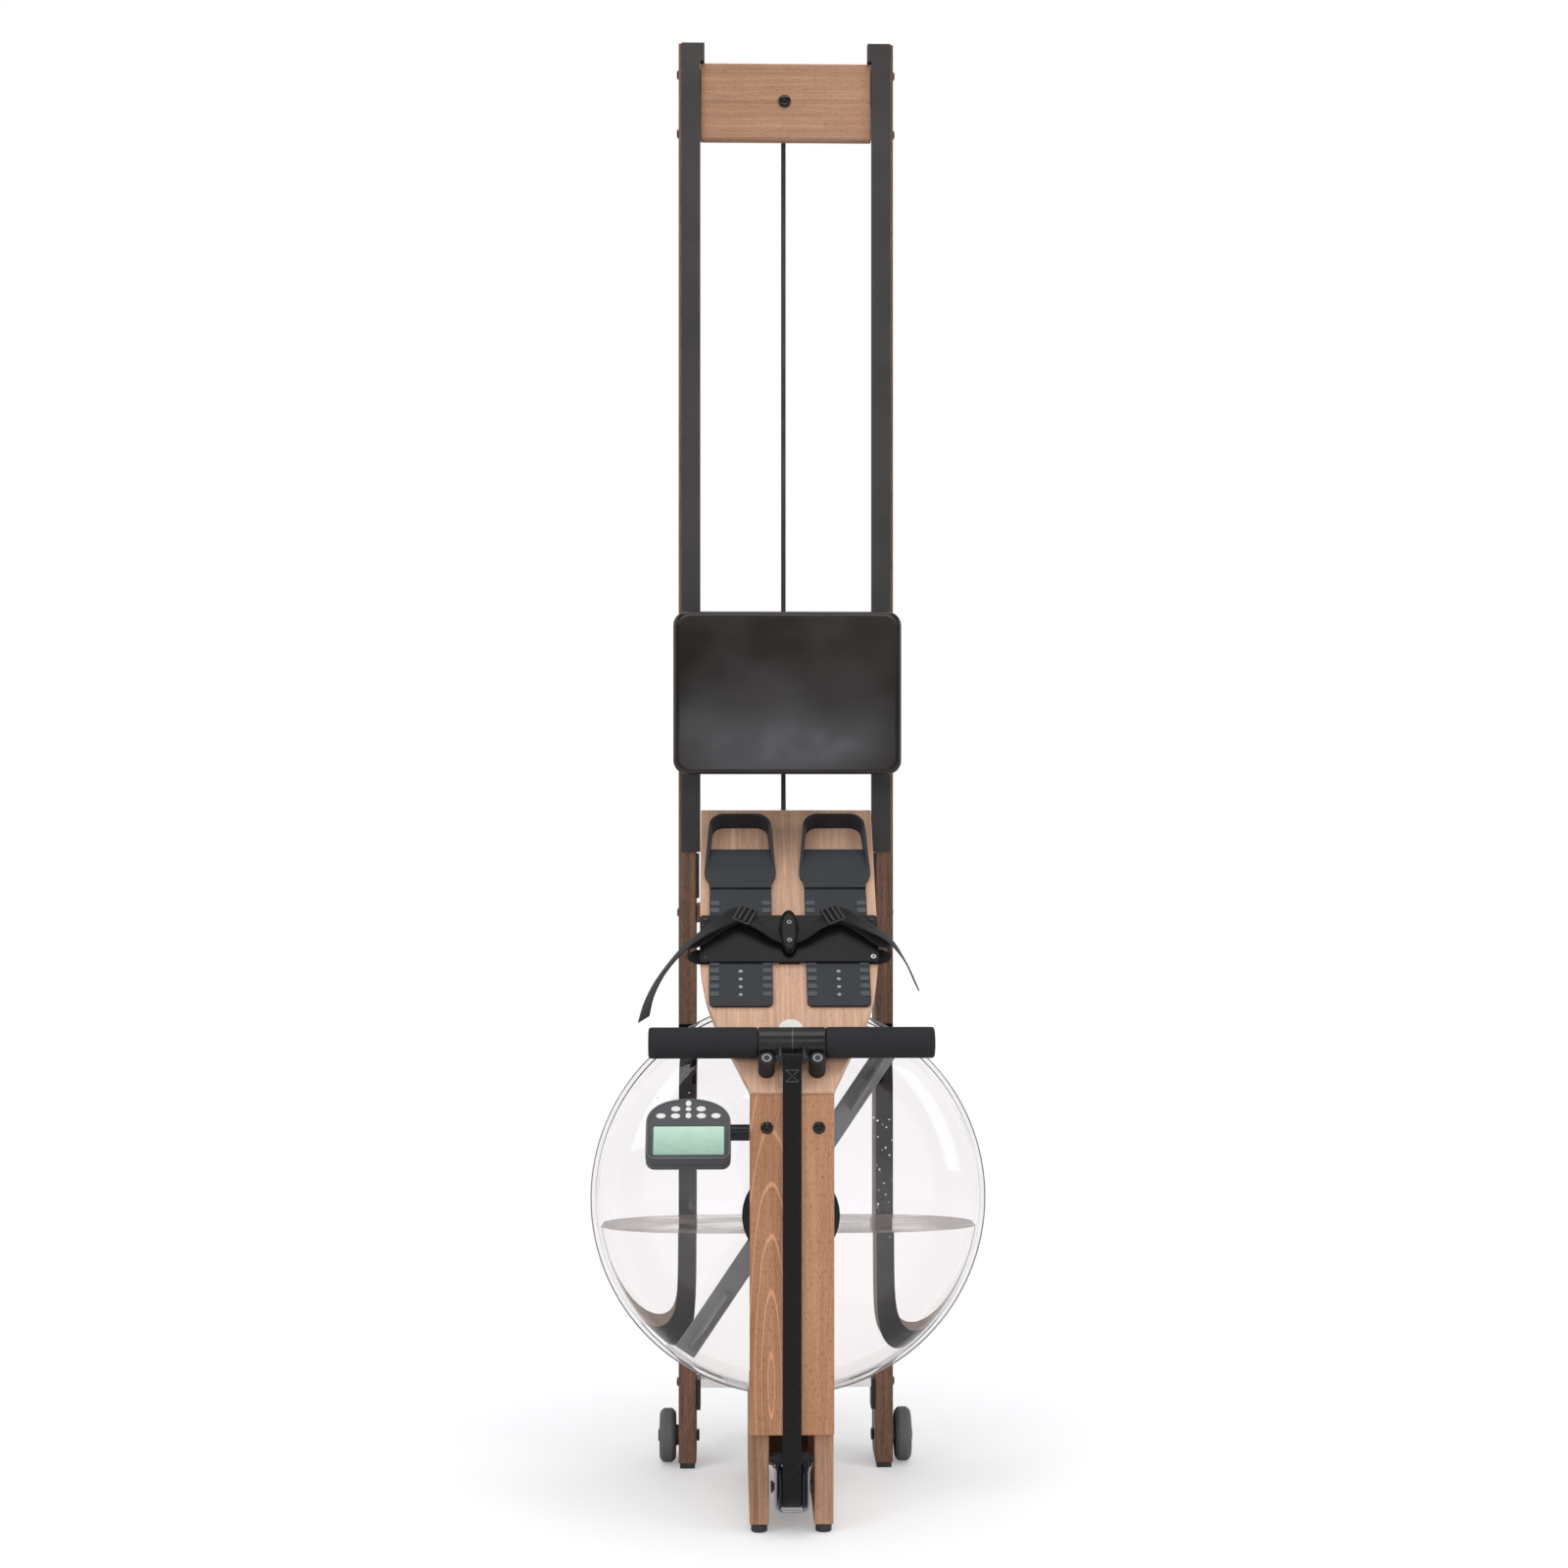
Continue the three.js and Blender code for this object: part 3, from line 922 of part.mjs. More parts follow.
add('handle_core', atHandle(join(
  bar(handle.coreRadius, -coreEnd, coreEnd, 'x', 24),
  bar(handle.sleeveRadius, -handle.sleeveHalf, handle.sleeveHalf, 'x', 28),
  clevisEar, mirrorX(clevisEar), clevisPin,
)), satinBlack);
const gripStart = handle.sleeveHalf + fit;
const gripBore = handle.coreRadius + fit;
const rounding = handle.endRounding - fit;
const gripEndPoints = [0, 30, 60, 90].map(THREE.MathUtils.degToRad).map((turn) => (
  [handle.gripRadius - rounding + rounding * Math.cos(turn), gripEnd - rounding + rounding * Math.sin(turn)]
));
const rightGrip = turned([
  [0, coreEnd + fit], [gripBore, coreEnd + fit], [gripBore, gripStart], [handle.gripRadius, gripStart],
  ...gripEndPoints, [0, gripEnd],
], 'x', 28);
add('right_grip', atHandle(rightGrip.clone()), foam);
add('left_grip', atHandle(mirrorX(rightGrip)), foam);

// Monitor case, screen and keys, in the monitor's frame
const caseHalfWidth = monitor.width / 2 - monitor.edge;
const caseHalfTall = monitor.tall / 2 - monitor.edge;
const caseCorner = monitor.corner - monitor.edge;
const caseShape = new THREE.Shape();
caseShape.moveTo(-caseHalfWidth + caseCorner, -caseHalfTall);
caseShape.lineTo(caseHalfWidth - caseCorner, -caseHalfTall);
caseShape.absarc(caseHalfWidth - caseCorner, -caseHalfTall + caseCorner, caseCorner, -Math.PI / 2, 0);
caseShape.lineTo(caseHalfWidth, monitor.domeStart);
const domeSide = caseHalfTall * domeShares.side;
const domeTop = caseHalfWidth * domeShares.top;
caseShape.bezierCurveTo(caseHalfWidth, domeSide, domeTop, caseHalfTall, 0, caseHalfTall);
caseShape.bezierCurveTo(-domeTop, caseHalfTall, -caseHalfWidth, domeSide, -caseHalfWidth, monitor.domeStart);
caseShape.lineTo(-caseHalfWidth, -caseHalfTall + caseCorner);
caseShape.absarc(-caseHalfWidth + caseCorner, -caseHalfTall + caseCorner, caseCorner, Math.PI, Math.PI * 1.5);
const caseBody = extrude(caseShape, monitor.thickness - 2 * monitor.edge, {
  bevelEnabled: true, bevelThickness: monitor.edge, bevelSize: monitor.edge, bevelSegments: 1, curveSegments: 6,
}).translate(0, 0, monitor.edge - monitor.thickness);
const tilt = THREE.MathUtils.degToRad(monitor.tiltDegrees);
const armBehind = monitor.ahead;
const armAbove = -monitor.lift;
const armUp = armBehind * Math.cos(tilt) + armAbove * Math.sin(tilt);
const armOut = -armBehind * Math.sin(tilt) + armAbove * Math.cos(tilt);
const lugEnd = monitor.lugStart + monitor.lug;
const lugHalf = monitor.lugRadius * Math.SQRT1_2;
const caseWithLug = join(
  caseBody,
  bar(monitor.lugRadius, monitor.lugStart, lugEnd, 'x').translate(0, armUp, armOut),
  spanBox(monitor.lugStart, lugEnd, armUp - lugHalf, armUp + lugHalf, armOut, monitor.edge - monitor.thickness),
);
const ellipse = (x, y, wide, tall) => {
  const shape = new THREE.Shape();
  shape.absellipse(x, y, wide, tall, 0, Math.PI * 2);
  return shape;
};
const keyRows = Object.entries(keyPlaceShares).map(([name, [out, up]]) => {
  const size = out === 0 ? [key.small, key.smallTall] : [key.oval, key.ovalTall];
  return [name, [out * monitor.width / 2, up * monitor.tall / 2, ...size]];
});
const keyPockets = keyRows.map(([, [x, y, wide, tall]]) => (
  extrude(ellipse(x, y, wide + fit, tall + fit), key.pocket + cutOverrun, { curveSegments: key.steps })
    .translate(0, 0, -key.pocket)
));
const lcdRight = lcd.left + lcd.width;
const lcdTop = lcd.low + lcd.tall;
const lcdPocket = spanBox(lcd.left - fit, lcdRight + fit, lcd.low - fit, lcdTop + fit, -lcd.recess, cutOverrun);
const armBore = bar(arm.radius + fit, monitor.lugStart - cutOverrun, lugEnd + cutOverrun, 'x')
  .translate(0, armUp, armOut);
add('monitor_case', cut(caseWithLug, armBore, lcdPocket, ...keyPockets), satinBlack, monitorGroup);
add('monitor_screen', spanBox(lcd.left, lcdRight, lcd.low, lcdTop, fit - lcd.recess, fit - lcd.recess + lcd.thickness),
  lcdGreen, monitorGroup);
keyRows.forEach(([name, [x, y, wide, tall]]) => {
  add(name, extrude(ellipse(x, y, wide, tall), key.below + key.proud, { curveSegments: key.steps })
    .translate(0, 0, -key.below), white, monitorGroup);
});
add('monitor_arm', bar(arm.radius, -deck.halfWidth - fit - arm.length, -deck.halfWidth - fit, 'x')
  .translate(0, -arm.depth, armHeight), satinBlack);

// The origin lies under the middle of the whole machine
const whole = new THREE.Box3().setFromObject(rower, true);
rower.position.y = -(whole.min.y + whole.max.y) / 2;
const machine = new THREE.Group();
machine.add(rower);

export default machine;
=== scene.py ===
"""A water rowing machine stored upright on its front end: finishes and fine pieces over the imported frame.

Blender works in metres. The tables of sizes and places here are in millimetres, in one of three frames.
RAILS has x = 0 in the middle plane, y = 0 at the rails' front faces and z = 0 on the floor. BOARD lies on the
footboard's face, with y up the board and z out of it. MONITOR is in the middle of the monitor's face, with z
out of it.
"""

import json
import math

import bmesh
import bpy
from mathutils import Matrix, Vector


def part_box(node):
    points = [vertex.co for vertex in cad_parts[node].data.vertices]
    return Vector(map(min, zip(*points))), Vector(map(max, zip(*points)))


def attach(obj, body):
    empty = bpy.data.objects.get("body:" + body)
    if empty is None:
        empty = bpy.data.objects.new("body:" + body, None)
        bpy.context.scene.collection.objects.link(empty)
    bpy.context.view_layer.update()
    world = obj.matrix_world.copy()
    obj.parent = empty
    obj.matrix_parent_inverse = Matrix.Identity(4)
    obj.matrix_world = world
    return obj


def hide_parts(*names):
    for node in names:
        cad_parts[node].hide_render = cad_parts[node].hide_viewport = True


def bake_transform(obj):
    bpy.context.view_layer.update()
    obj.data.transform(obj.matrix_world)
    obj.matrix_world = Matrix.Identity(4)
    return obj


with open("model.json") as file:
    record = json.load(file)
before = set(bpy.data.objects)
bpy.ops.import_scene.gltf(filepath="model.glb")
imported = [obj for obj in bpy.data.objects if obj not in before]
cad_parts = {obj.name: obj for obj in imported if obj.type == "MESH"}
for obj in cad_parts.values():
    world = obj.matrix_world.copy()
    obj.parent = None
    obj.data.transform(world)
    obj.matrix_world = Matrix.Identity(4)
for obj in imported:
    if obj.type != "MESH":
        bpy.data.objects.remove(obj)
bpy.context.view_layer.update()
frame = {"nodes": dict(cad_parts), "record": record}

MM = 0.001
RAIL_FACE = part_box("right_rail")[0][1]
BODY_OF = {node: body for body, nodes in frame["record"]["behaviour"]["bodies"].items() for node in nodes}
SLOT_OF = {part["node"]: part["material_slot"] for part in frame["record"]["subparts"]}

RAILS = Matrix.Translation((0, RAIL_FACE, 0)) @ Matrix.Scale(MM, 4)
BOARD_SLOPE = math.radians(48.54)
BOARD = RAILS @ Matrix.Translation((0, -330, 597)) @ Matrix.Rotation(BOARD_SLOPE, 4, "X")
MONITOR_TILT = math.radians(50)
MONITOR = RAILS @ Matrix.Translation((-138, -362, 554)) @ Matrix.Rotation(MONITOR_TILT, 4, "X")
IN_PLACE = Matrix.Identity(4)

# Places that several pieces share, in the rails' frame
RAIL_INNER, RAIL_OUTER = 132, 158
TANK = (0, -129, 422)
OUTER_DOME, INNER_DOME = (274, 76), (270.4, 72.4)
HANDLE = (0, -303, 660)
CLEVIS_PIN = (0, -333, 643)
FRONT_PULLEY = (0, -303, 63)
REAR_PULLEY = (-2.5, 56, 2009.2)
WHEEL_AXLE = (0, 41, 39.6)
SEAT_MIDDLE = 1139
PEG_OUT, PEG_UP = 34, 32.4
WEB_WIDE, WEB_THICK = 25, 1.6


# Making finishes

def tint(code):
    """A colour written as on a paint card, 0xRRGGBB, as Blender's linear numbers."""
    shares = [((code >> shift) & 255) / 255 for shift in (16, 8, 0)]
    return tuple(c / 12.92 if c <= 0.04045 else ((c + 0.055) / 1.055) ** 2.4 for c in shares) + (1.0,)


def put(tree, socket, value):
    """Sets an input to a value, or joins it to another node's output."""
    if isinstance(value, bpy.types.NodeSocket):
        tree.links.new(value, socket)
    else:
        socket.default_value = value


def add(tree, kind, inputs=None, **settings):
    node = tree.nodes.new(kind)
    for name, value in settings.items():
        setattr(node, name, value)
    for name, value in (inputs or {}).items():
        put(tree, node.inputs[name], value)
    return node


def new_finish(name, **sockets):
    finish = bpy.data.materials.new(name)
    finish.use_nodes = True
    tree = finish.node_tree
    shader = tree.nodes["Principled BSDF"]
    for socket, value in sockets.items():
        shader.inputs[socket.replace("_", " ")].default_value = value
    return finish, tree, shader


def own_place(tree):
    """A point's place on its own object, which stays with the piece in every view."""
    return add(tree, "ShaderNodeTexCoord").outputs["Object"]


def stretched(tree, vector, scale):
    return add(tree, "ShaderNodeMapping", {"Vector": vector, "Scale": scale}).outputs[0]


def split(tree, vector):
    return add(tree, "ShaderNodeSeparateXYZ", {"Vector": vector}).outputs


def noise(tree, vector, scale, detail=2.0, roughness=0.5):
    return add(tree, "ShaderNodeTexNoise", {
        "Vector": vector, "Scale": scale, "Detail": detail, "Roughness": roughness}).outputs[0]


def figure(tree, operation, *values, clamp=False):
    return add(tree, "ShaderNodeMath", dict(enumerate(values)), operation=operation,
               use_clamp=clamp).outputs[0]


def vector_figure(tree, operation, inputs):
    return add(tree, "ShaderNodeVectorMath", inputs, operation=operation).outputs


def spread(tree, value, low, high, out_low=0.0, out_high=1.0):
    return add(tree, "ShaderNodeMapRange", {
        "Value": value, "From Min": low, "From Max": high, "To Min": out_low, "To Max": out_high}).outputs[0]


def about_zero(tree, value, strength):
    return figure(tree, "MULTIPLY", figure(tree, "SUBTRACT", value, 0.5), strength)


def blend_colour(tree, share, first, second, way="MIX"):
    return add(tree, "ShaderNodeMix", {0: share, 6: first, 7: second}, data_type="RGBA",
               blend_type=way).outputs[2]


def paint(tree, shader, share, first, second):
    put(tree, shader.inputs["Base Color"], blend_colour(tree, share, tint(first), tint(second)))


def relief(tree, shader, height, strength, distance):
    bump = add(tree, "ShaderNodeBump", {"Height": height, "Strength": strength, "Distance": distance})
    put(tree, shader.inputs["Normal"], bump.outputs[0])


def show(tree, share, first, second):
    """Makes a mix of two shaders the finish's surface."""
    mix = add(tree, "ShaderNodeMixShader", {0: share, 1: first.outputs[0], 2: second.outputs[0]})
    put(tree, tree.nodes["Material Output"].inputs["Surface"], mix.outputs[0])


TO_GRAIN = {"x": (0, -math.pi / 2, 0), "z": (0, 0, 0), "y": (math.pi / 2, 0, 0),
            "board": (math.pi / 2 - BOARD_SLOPE, 0, 0)}


def growth_lines(tree, grain, slow, heart, lean, ring, line_width, wander_by):
    """1 on the thin dark lines between the log's rings, whose heart line leans through the board."""
    leaned = add(tree, "ShaderNodeMapping", {
        "Vector": grain, "Rotation": (*lean, 0), "Location": (*heart, 0)}).outputs[0]
    wander = add(tree, "ShaderNodeTexNoise", {"Vector": slow, "Scale": 16.0, "Detail": 3.0,
                                              "Roughness": 0.55})
    shift = vector_figure(tree, "MULTIPLY", {0: wander.outputs["Color"], 1: (wander_by, wander_by, 0.0)})[0]
    bent = vector_figure(tree, "ADD", {0: leaned, 1: shift})[0]
    flat = vector_figure(tree, "MULTIPLY", {0: bent, 1: (1, 1, 0)})[0]
    out = vector_figure(tree, "LENGTH", {0: flat})["Value"]
    rings = figure(tree, "FRACT", figure(tree, "DIVIDE", out, ring))
    off_line = spread(tree, figure(tree, "ABSOLUTE", figure(tree, "SUBTRACT", rings, 0.5)), 0.0, line_width)
    return figure(tree, "MAXIMUM", figure(tree, "SUBTRACT", 1.0, off_line), 0.0)


def wood(name, pale, deep, along, heart=(0.3, 0.2), lean=(0.0, 0.0), ring=0.011, arch=0.15, streak=0.5,
         fleck=0.35, mottle=0.35, wander_by=0.010, line_width=0.16, arch_side=None, painted_shade=None):
    """Oiled hardwood: growth lines, long fine streaks, short dark pores and a slow change of tone.

    arch is the growth lines' strength. They show only left of arch_side where it is given. The last argument
    gives two heights in metres, and the tint of the painted shade that darkens the board towards the second."""
    finish, tree, shader = new_finish(name, Roughness=0.52, Specular_IOR_Level=0.35)
    place = own_place(tree)
    grain = add(tree, "ShaderNodeMapping", {"Vector": place, "Rotation": TO_GRAIN[along]}).outputs[0]
    slow = stretched(tree, grain, (1, 1, 0.16))
    line = growth_lines(tree, grain, slow, heart, lean, ring, line_width, wander_by)
    if arch_side is not None:
        line = figure(tree, "MULTIPLY", line, spread(tree, split(tree, place)[0], arch_side + 0.004,
                                                     arch_side - 0.004))
    fine_place = stretched(tree, grain, (1, 1, 0.028))
    streaks = noise(tree, fine_place, 620.0, 3.0, 0.6)
    broad = noise(tree, fine_place, 110.0, 3.0, 0.55)
    pores = spread(tree, noise(tree, stretched(tree, grain, (1, 1, 0.085)), 1500.0, 1.0), 0.56, 0.72)
    tone = figure(tree, "ADD", about_zero(tree, streaks, streak * 2.2), about_zero(tree, broad, streak * 1.8))
    tone = figure(tree, "ADD", tone, about_zero(tree, noise(tree, slow, 9.0, 3.0), mottle * 3.0))
    tone = figure(tree, "ADD", tone, figure(tree, "MULTIPLY", line, arch))
    tone = figure(tree, "SUBTRACT", tone, figure(tree, "MULTIPLY", pores, fleck))
    colour = blend_colour(tree, figure(tree, "ADD", tone, 0.5, clamp=True), tint(deep), tint(pale))
    # Painted shade: the wood darkens towards the second height
    if painted_shade:
        low, high, shade_tint = painted_shade
        colour = blend_colour(tree, spread(tree, split(tree, place)[2], low, high), colour, shade_tint, "MULTIPLY")
    put(tree, shader.inputs["Base Color"], colour)
    height = figure(tree, "SUBTRACT", streaks, figure(tree, "MULTIPLY", pores, 1.2))
    relief(tree, shader, height, 0.25, 0.0004)
    put(tree, shader.inputs["Roughness"], spread(tree, streaks, 0.2, 0.8, 0.42, 0.62))
    return finish


def moulded(name, colour, worn, roughness=0.42, grain=900.0, depth=0.00012, specular=0.5, bump=0.35):
    """Moulded or coated: a fine grain in the surface, and a slow change of tone from handling."""
    finish, tree, shader = new_finish(name, Specular_IOR_Level=specular)
    place = own_place(tree)
    cloud = noise(tree, place, 14.0, 3.0)
    paint(tree, shader, spread(tree, cloud, 0.35, 0.7), colour, worn)
    put(tree, shader.inputs["Roughness"], spread(tree, cloud, 0.2, 0.8, roughness - 0.05, roughness + 0.08))
    relief(tree, shader, noise(tree, place, grain, 2.0), bump, depth)
    return finish


def foam_skin(name, colour, worn):
    """Closed-cell foam: small round cells under a matt skin."""
    finish, tree, shader = new_finish(name, Roughness=0.78, Specular_IOR_Level=0.3)
    place = own_place(tree)
    cells = add(tree, "ShaderNodeTexVoronoi", {"Vector": place, "Scale": 1100.0})
    paint(tree, shader, noise(tree, place, 30.0, 3.0), colour, worn)
    relief(tree, shader, cells.outputs["Distance"], 0.5, 0.0003)
    return finish


def weave(name, colour, thread, rib=0.0022, weft=0.0016):
    """Webbing: warp ribs along the band's own UV length and weft across it."""
    finish, tree, shader = new_finish(name, Roughness=0.85, Specular_IOR_Level=0.18, Sheen_Weight=0.14)
    parts = split(tree, add(tree, "ShaderNodeUVMap", uv_map="band").outputs[0])
    along, across = (figure(tree, "SINE", figure(tree, "MULTIPLY", part, 2 * math.pi / pitch))
                     for part, pitch in ((parts[0], rib), (parts[1], weft)))
    crossing = figure(tree, "MULTIPLY", along, across)
    height = figure(tree, "ADD", figure(tree, "MULTIPLY", crossing, 0.5), 0.5)
    share = figure(tree, "MULTIPLY", height, noise(tree, own_place(tree), 160.0, 3.0))
    paint(tree, shader, share, colour, thread)
    relief(tree, shader, height, 0.6, 0.0004)
    return finish


def clear_finish(name, colour, ior, shadow):
    """See-through plastic or water. Light still falls through it on what stands behind."""
    finish, tree, shader = new_finish(name, Base_Color=colour, Roughness=0.0, IOR=ior,
                                      Transmission_Weight=1.0)
    ray = add(tree, "ShaderNodeLightPath")
    shade = add(tree, "ShaderNodeBsdfTransparent", {"Color": shadow})
    show(tree, ray.outputs["Is Shadow Ray"], shader, shade)
    return finish


def metal(name, colour, roughness, brushed=0.15):
    finish, tree, shader = new_finish(name, Metallic=1.0, Base_Color=tint(colour))
    fine = noise(tree, stretched(tree, own_place(tree), (1, 1, 0.05)), 900.0, 2.0)
    put(tree, shader.inputs["Roughness"], spread(tree, fine, 0.2, 0.8, roughness, roughness + brushed))
    return finish


def water_skin(name):
    """The water's surface from above: nearly clear in the middle, with painted shade that darkens it where it
    climbs the wall.
    """
    finish, tree, shader = new_finish(name, Base_Color=tint(0x8d827c), Roughness=0.12, Specular_IOR_Level=0.5)
    place = own_place(tree)
    parts = split(tree, place)
    middle = RAIL_FACE + TANK[1] * MM
    swirl = noise(tree, stretched(tree, place, (6, 16, 1)), 1.6, 2.0)
    sides = spread(tree, figure(tree, "ABSOLUTE", parts[0]), 0.16, 0.245)
    near = spread(tree, parts[1], middle - 0.028, middle - 0.068)
    far = spread(tree, parts[1], middle + 0.04, middle + 0.068)
    # Painted shade along the surface's sides and its near and far edges
    edge = figure(tree, "MAXIMUM", figure(tree, "MAXIMUM", sides, near), figure(tree, "MULTIPLY", far, 0.5))
    share = figure(tree, "ADD", figure(tree, "MULTIPLY", edge, 0.6),
                   figure(tree, "MULTIPLY", spread(tree, swirl, 0.42, 0.6), 0.35), clamp=True)
    show(tree, share, add(tree, "ShaderNodeBsdfTransparent", {"Color": (0.97, 0.965, 0.96, 1)}), shader)
    return finish


def screen_glass(name):
    """Pale green glass, with a painted sheen that makes it lighter towards its top edge."""
    finish, tree, shader = new_finish(name, Roughness=0.22, Specular_IOR_Level=0.5)
    place = add(tree, "ShaderNodeUVMap", uv_map="face").outputs[0]
    haze = noise(tree, place, 5.0, 2.0)
    paint(tree, shader, figure(tree, "ADD", split(tree, place)[1], about_zero(tree, haze, 0.5), clamp=True),
          0x84a894, 0xb4d3c1)
    relief(tree, shader, haze, 0.05, 0.0002)
    return finish


RAIL_WOOD = wood("rail wood", 0x93705a, 0x57402f, "z", heart=(0.35, 0.21), ring=0.016, streak=0.6, fleck=0.7)
LEG_WOOD = wood("leg wood", 0x8c6a52, 0x553c2e, "y", heart=(0.35, 0.21), ring=0.016, streak=0.35, fleck=0.3)
CROSS_WOOD = wood("cross member wood", 0x8c6a52, 0x553c2e, "x", ring=0.014, streak=0.35)
SPREADER_WOOD = wood("spreader wood", 0xb88e70, 0x825d43, "x", heart=(0.24, -0.10), lean=(0.03, 0.0),
                     ring=0.010, arch=0.3, streak=0.42, fleck=0.6, mottle=0.4, line_width=0.1)
# The footboard darkens towards its upper end with painted shade
BOARD_WOOD = wood("footboard wood", 0xf0c6a8, 0xb28a70, "board", heart=(0.19, 0.33), ring=0.012, arch=0.10,
                  fleck=0.38, mottle=0.22, painted_shade=(0.64, 0.90, (0.77, 0.76, 0.76, 1)))
DECK_WOOD = wood("deck wood", 0xd29e78, 0x8e5d41, "z", heart=(0.024, 0.292), lean=(0.11, 0.0), ring=0.0085,
                 arch=1.0, streak=0.34, fleck=0.8, mottle=0.34, wander_by=0.007, line_width=0.075,
                 arch_side=-0.006)
POST_WOOD = wood("post wood", 0xd0a181, 0x8c674e, "z", heart=(0.15, 0.26), lean=(0.06, 0.02), ring=0.009,
                 arch=0.25, fleck=0.5, mottle=0.4)
# Painted shade: the black of the thin strips on the rails behind the tank
PAINTED_SHADE_BLACK = moulded("painted shade black", 0x0d0c0c, 0x131211, 0.6, 600.0, specular=0.1)
TRACK_BLACK = moulded("track black", 0x322e2c, 0x3c3836, 0.5, 600.0, specular=0.4)
BOLT_BLACK = moulded("bolt black", 0x0c0b0b, 0x131211, 0.16, 500.0, 0.00003, 0.5, 0.1)
GLOSS_BLACK = moulded("gloss black", 0x08080a, 0x0e0e10, 0.16, 600.0, 0.00003, 0.14, 0.1)
SLEEVE_BLACK = moulded("sleeve black", 0x19191a, 0x222223, 0.3, 600.0, 0.00003, 0.4, 0.1)
SATIN_BLACK = moulded("satin black", 0x131314, 0x1c1c1e, 0.34, specular=0.35)
PLATE_BLACK = moulded("foot plate black", 0x1b1f25, 0x262b32, 0.42, 700.0, specular=0.3)
BAR_BLACK = moulded("crossbar black", 0x111214, 0x191a1d, 0.42, 600.0, specular=0.2)
RIB_GREY = moulded("rib grey", 0x31373f, 0x3e454f, 0.42, 700.0)
STOP_GREY = moulded("adjusting stop", 0x878c94, 0x9a9fa6, 0.4, 500.0)
STEEL_BLACK = moulded("black coated steel", 0x17171a, 0x222226, 0.38, 500.0)
RUBBER = moulded("rubber", 0x161617, 0x202021, 0.58, 400.0, specular=0.35)
TYRE_GREY = moulded("wheel grey", 0x5e5f62, 0x6c6d70, 0.7, 350.0, specular=0.3)
SEAT_SKIN = moulded("seat skin", 0x1e1713, 0x251c18, 0.16, 1300.0, 0.00003, 0.5, 0.06)
PADDLE_GREY = moulded("paddle grey", 0x6f7174, 0x7c7e80, 0.5, 300.0)
ROLLER_WHITE = moulded("white plastic", 0xd9d9d5, 0xe6e6e2, 0.4, 500.0)
COATED_WHITE = moulded("white coat", 0xfafafa, 0xffffff, 0.5, 500.0, specular=0.2)
FOOT_RUBBER = moulded("foot rubber", 0x38373a, 0x444346, 0.62, 400.0, specular=0.35)
RIM_SEAL = moulded("rim seal", 0x6a6462, 0x787270, 0.5, 300.0)
CORD_COVER = moulded("cord cover", 0x332e2a, 0x4d4640, 0.7, 1600.0, 0.0003, 0.3, 0.8)
CASE_GREY = moulded("monitor case", 0x3e3f42, 0x4a4b4e, 0.42, 800.0, specular=0.4)
HIGHLIGHT_GREY = moulded("painted case edge highlight", 0x77787b, 0x8d8e92, 0.35, 600.0)
# Painted highlight: the light grey of the line round the monitor's face
KEY_WHITE = moulded("key white", 0xdcdcda, 0xe8e8e6, 0.42, 700.0)
THREAD = moulded("thread", 0x55565a, 0x77787c, 0.8, 900.0)
# Painted highlight: water drops in opaque white
DROP_HIGHLIGHT_WHITE = moulded("drop", 0xf4f4f4, 0xffffff, 0.1, 300.0, 0.00005)
FOAM = foam_skin("grip foam", 0x212224, 0x2a2b2d)
WEBBING = weave("webbing", 0x111112, 0x2c2c2e)
BRIGHT_WIRE = metal("bright wire", 0x97989e, 0.12)
WASHER_STEEL = metal("washer steel", 0xb9babd, 0.28)
DULL_STEEL = metal("dull steel", 0x85868a, 0.35)
TANK_CLEAR = clear_finish("clear tank plastic", (0.95, 0.934, 0.939, 1), 1.33, (0.97, 0.95, 0.955, 1))
TANK_WATER = clear_finish("still water", (0.995, 0.985, 0.965, 1), 1.2, (0.98, 0.975, 0.96, 1))
WATER_FACE = water_skin("water surface")
SCREEN_GREEN = screen_glass("screen green")


# Making pieces

def placed(name, data):
    thing = bpy.data.objects.new(name, data)
    bpy.context.scene.collection.objects.link(thing)
    return thing


def settle(name, shape, place, finish, node=None, body=None, slot=None, bevel=0.0, segments=3, crease=35):
    """Puts a shape in the scene, with its place in its points.

    It stands for a node where one is given, and then has that node's body, if none is named. The slot, named
    or the node's, is not used."""
    mesh = to_mesh(shape, name) if isinstance(shape, bmesh.types.BMesh) else shape
    mesh.transform(place)
    mesh.materials.clear()
    mesh.materials.append(finish)
    mesh.shade_smooth()
    mesh.set_sharp_from_angle(angle=math.radians(crease))
    piece = placed(name, mesh)
    if bevel:
        edge = piece.modifiers.new("eased edges", "BEVEL")
        edge.width = bevel * MM
        edge.segments = segments
        edge.limit_method = "ANGLE"
        edge.angle_limit = math.radians(crease)
        edge.harden_normals = True
    body = BODY_OF.get(node, "machine_frame") if body is None else body
    slot = SLOT_OF.get(node) if slot is None else slot
    if body:
        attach(piece, body)
    if node:
        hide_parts(node)
    return piece


def to_mesh(work, name, outward=True):
    if outward:
        bmesh.ops.recalc_face_normals(work, faces=work.faces)
    mesh = bpy.data.meshes.new(name)
    work.to_mesh(mesh)
    work.free()
    return mesh


def eased(node, finish, width=0.8, segments=3, crease=35):
    """The CAD node's own shape, merged, with flat areas as single faces and its sharp edges eased."""
    work = bmesh.new()
    work.from_mesh(frame["nodes"][node].data)
    bmesh.ops.remove_doubles(work, verts=work.verts, dist=2e-6)
    bmesh.ops.dissolve_limit(work, angle_limit=math.radians(0.6), verts=work.verts, edges=work.edges)
    mesh = to_mesh(work, node + "_eased", outward=False)
    return settle(node + "_eased", mesh, IN_PLACE, finish, node, bevel=width, segments=segments,
                  crease=crease)


